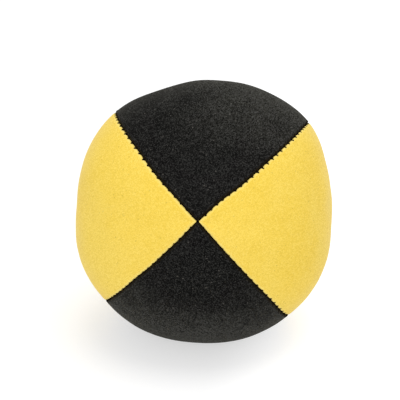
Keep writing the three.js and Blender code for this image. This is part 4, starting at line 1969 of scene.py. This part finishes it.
@dataclass(frozen=True)
class Studio:
    """Floor, light and camera.

    Args:
        form: The ball's form.
        azimuth_deg: Camera's angle round the ball.
        elevation_deg: Camera's height above level.
        distance_m: Camera to the ball's centre.
        picture_px: Width of the square picture.
        radius_px: Mean radius of the ball in the picture.
        offset_px: Ball's centre right of and below the picture's middle.
        ball_mm: The ball's mean radius.
        sensor_mm: Camera's sensor.
        world: Strength of the light from all round.
        floor_m: Width of the floor.
        floor_drop_mm: How far it lies below the ball.
        floor_white: How white it is under the light.
        floor_glow: The floor's own white that the camera sees, on the left and on the right; the brighter
            right is painted light, as if lit from there.
        glow_reach_mm: Between which places across the floor the one turns into the other.
        floor_share: Share of the light that falls on the floor, shadow and all, that the camera sees.
        bounce_share: Share of the floor's own white that lights the ball from below: the floor glows like a
            lamp, painting bounce light.
        lamps: The lamps.
    """

    form: BallForm
    azimuth_deg: float = 3.45
    elevation_deg: float = 23.7
    distance_m: float = 0.6
    picture_px: float = 400
    radius_px: float = 132.3
    offset_px: Span = (5.3, 11.4)
    ball_mm: float = 32.98
    sensor_mm: float = 36.0
    world: float = 0.72
    floor_m: float = 6.0
    floor_drop_mm: float = 0.2
    floor_white: float = 0.9
    floor_glow: Span = (0.58, 0.72)
    glow_reach_mm: Span = (0.0, 22.0)
    floor_share: float = 0.55
    bounce_share: float = 0.15
    lamps: tuple[Lamp, ...] = (
        Lamp("softbox", (0.08, 0.0, 0.82), 0.6, 2.7),
        Lamp("front_fill", (-0.2, -0.86, 0.3), 0.8, 1.6),
    )

    def build(self) -> None:
        """Builds the floor, the lights and the camera."""
        self._floor()
        self._world()
        for lamp in self.lamps:
            self._lamp(lamp)
        self._camera()
        bpy.context.scene.view_settings.view_transform = "Standard"

    @property
    def centre(self) -> Vector:
        """The ball's centre."""
        return Vector((0, 0, self.form.centre_mm * MM))

    @staticmethod
    def _seen(nodes: Nodes) -> Signal:
        """1 for what the camera sees, straight on or in gloss and glass.

        Args:
            nodes: The nodes of a floor or a world.

        Returns:
            1 or 0.
        """
        path = nodes.add("ShaderNodeLightPath")
        rays = ("Is Camera Ray", "Is Glossy Ray", "Is Transmission Ray")
        camera, glossy, through = (Signal(nodes, path.outputs[ray]) for ray in rays)
        return camera.larger(glossy).larger(through)

    def _floor(self) -> None:
        """A white floor that keeps the ball's shadow, with a glow painted brighter towards the right that also
        lights the ball from below.
        """
        deselect()
        bpy.ops.mesh.primitive_plane_add(size=self.floor_m, location=(0, 0, -self.floor_drop_mm * MM))
        floor = bpy.context.object
        floor.name = "floor"
        material, nodes = new_material("white_floor")
        matt = nodes.add("ShaderNodeBsdfDiffuse", {}, {"Color": (*(self.floor_white,) * 3, 1)})
        # Painted light: the glow grows brighter towards the right.
        side = nodes.across(nodes.place()).spread(*(reach * MM for reach in self.glow_reach_mm))
        white = nodes.mixed(side, *((level,) * 3 for level in self.floor_glow))
        strength = 1 / (1 - self.floor_share)
        glow = nodes.add("ShaderNodeEmission", {}, {"Color": white, "Strength": strength})
        # Part of the glow reaches every ray, so the floor lights the ball like a lamp: painted bounce light.
        share = self.bounce_share + self._seen(nodes) * (1 - self.floor_share - self.bounce_share)
        shaders = {0: share, 1: matt.outputs[0], 2: glow.outputs[0]}
        mixed = nodes.add("ShaderNodeMixShader", {}, shaders)
        nodes.add("ShaderNodeOutputMaterial", {}, {"Surface": mixed.outputs[0]})
        floor.data.materials.append(material)

    def _world(self) -> None:
        """Even white light from all round, seen as white."""
        world = bpy.data.worlds.new("white_room")
        world.use_nodes = True
        bpy.context.scene.world = world
        nodes = Nodes(world.node_tree)
        strength = self.world + self._seen(nodes) * (1 - self.world)
        room = nodes.add("ShaderNodeBackground", {}, {"Color": (1, 1, 1, 1), "Strength": strength})
        nodes.add("ShaderNodeOutputWorld", {}, {"Surface": room.outputs[0]})

    @staticmethod
    def _stand(data: bpy.types.ID, place: Vector, target: Vector) -> bpy.types.Object:
        """Stands a lamp or a camera in the studio.

        Args:
            data: The lamp's light, or the camera.
            place: Where it stands.
            target: What it is turned to.

        Returns:
            Its object.
        """
        item = new_object(data.name, data)
        item.location = place
        item.rotation_euler = (target - place).to_track_quat("-Z", "Y").to_euler()
        return item

    def _lamp(self, lamp: Lamp) -> None:
        """A soft lamp that looks at the ball.

        Args:
            lamp: The lamp.
        """
        light = bpy.data.lights.new(lamp.name, "AREA")
        light.shape = "DISK"
        light.size = lamp.size_m
        light.energy = lamp.power_w
        self._stand(light, Vector(lamp.place_m), self.centre)

    def _camera(self) -> None:
        """The camera, at the photograph's angle."""
        azimuth, elevation = math.radians(self.azimuth_deg), math.radians(self.elevation_deg)
        level = math.cos(elevation)
        back = Vector((math.sin(azimuth) * level, -math.cos(azimuth) * level, math.sin(elevation)))
        right = Vector((math.cos(azimuth), math.sin(azimuth), 0))
        up = back.cross(right)
        ball = self.ball_mm * MM
        focal_px = self.radius_px * math.sqrt(self.distance_m**2 - ball**2) / ball
        scale = self.distance_m / focal_px
        aim = self.centre - right * self.offset_px[0] * scale + up * self.offset_px[1] * scale
        camera = bpy.data.cameras.new("camera")
        camera.sensor_width = self.sensor_mm
        camera.lens = focal_px * self.sensor_mm / self.picture_px
        item = self._stand(camera, self.centre + back * self.distance_m, aim)
        bpy.context.scene.camera = item


Piece = Union[SuedePanel, SeamStitching, ClosingStitch, MilletFill]


def main() -> None:
    """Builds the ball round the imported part, and the studio round the ball."""
    logging.basicConfig(level=logging.INFO, format="%(message)s")
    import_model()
    form = BallForm()
    needlework = Needlework(form)
    rows = [needlework.row(seam) for seam in range(len(SEAMS))]
    suedes = {Suede.YELLOW: YELLOW_SUEDE.material(form), Suede.BLACK: BLACK_SUEDE.material(form)}
    thread = ThreadFinish().material()
    pieces: list[tuple[Piece, bpy.types.Material]] = []
    pieces += [(SuedePanel(form, number, rows), suedes[cut.suede]) for number, cut in enumerate(PANELS)]
    pieces += [(SeamStitching(form, seam, row), thread) for seam, row in enumerate(rows)]
    pieces.append((ClosingStitch(form, rows[CLOSED_SEAM]), thread))
    pieces.append((MilletFill(form), MilletFinish().material()))
    for piece, material in pieces:
        piece.dress(piece.build(), material)
    Studio(form).build()


if __name__ == "__main__":
    main()
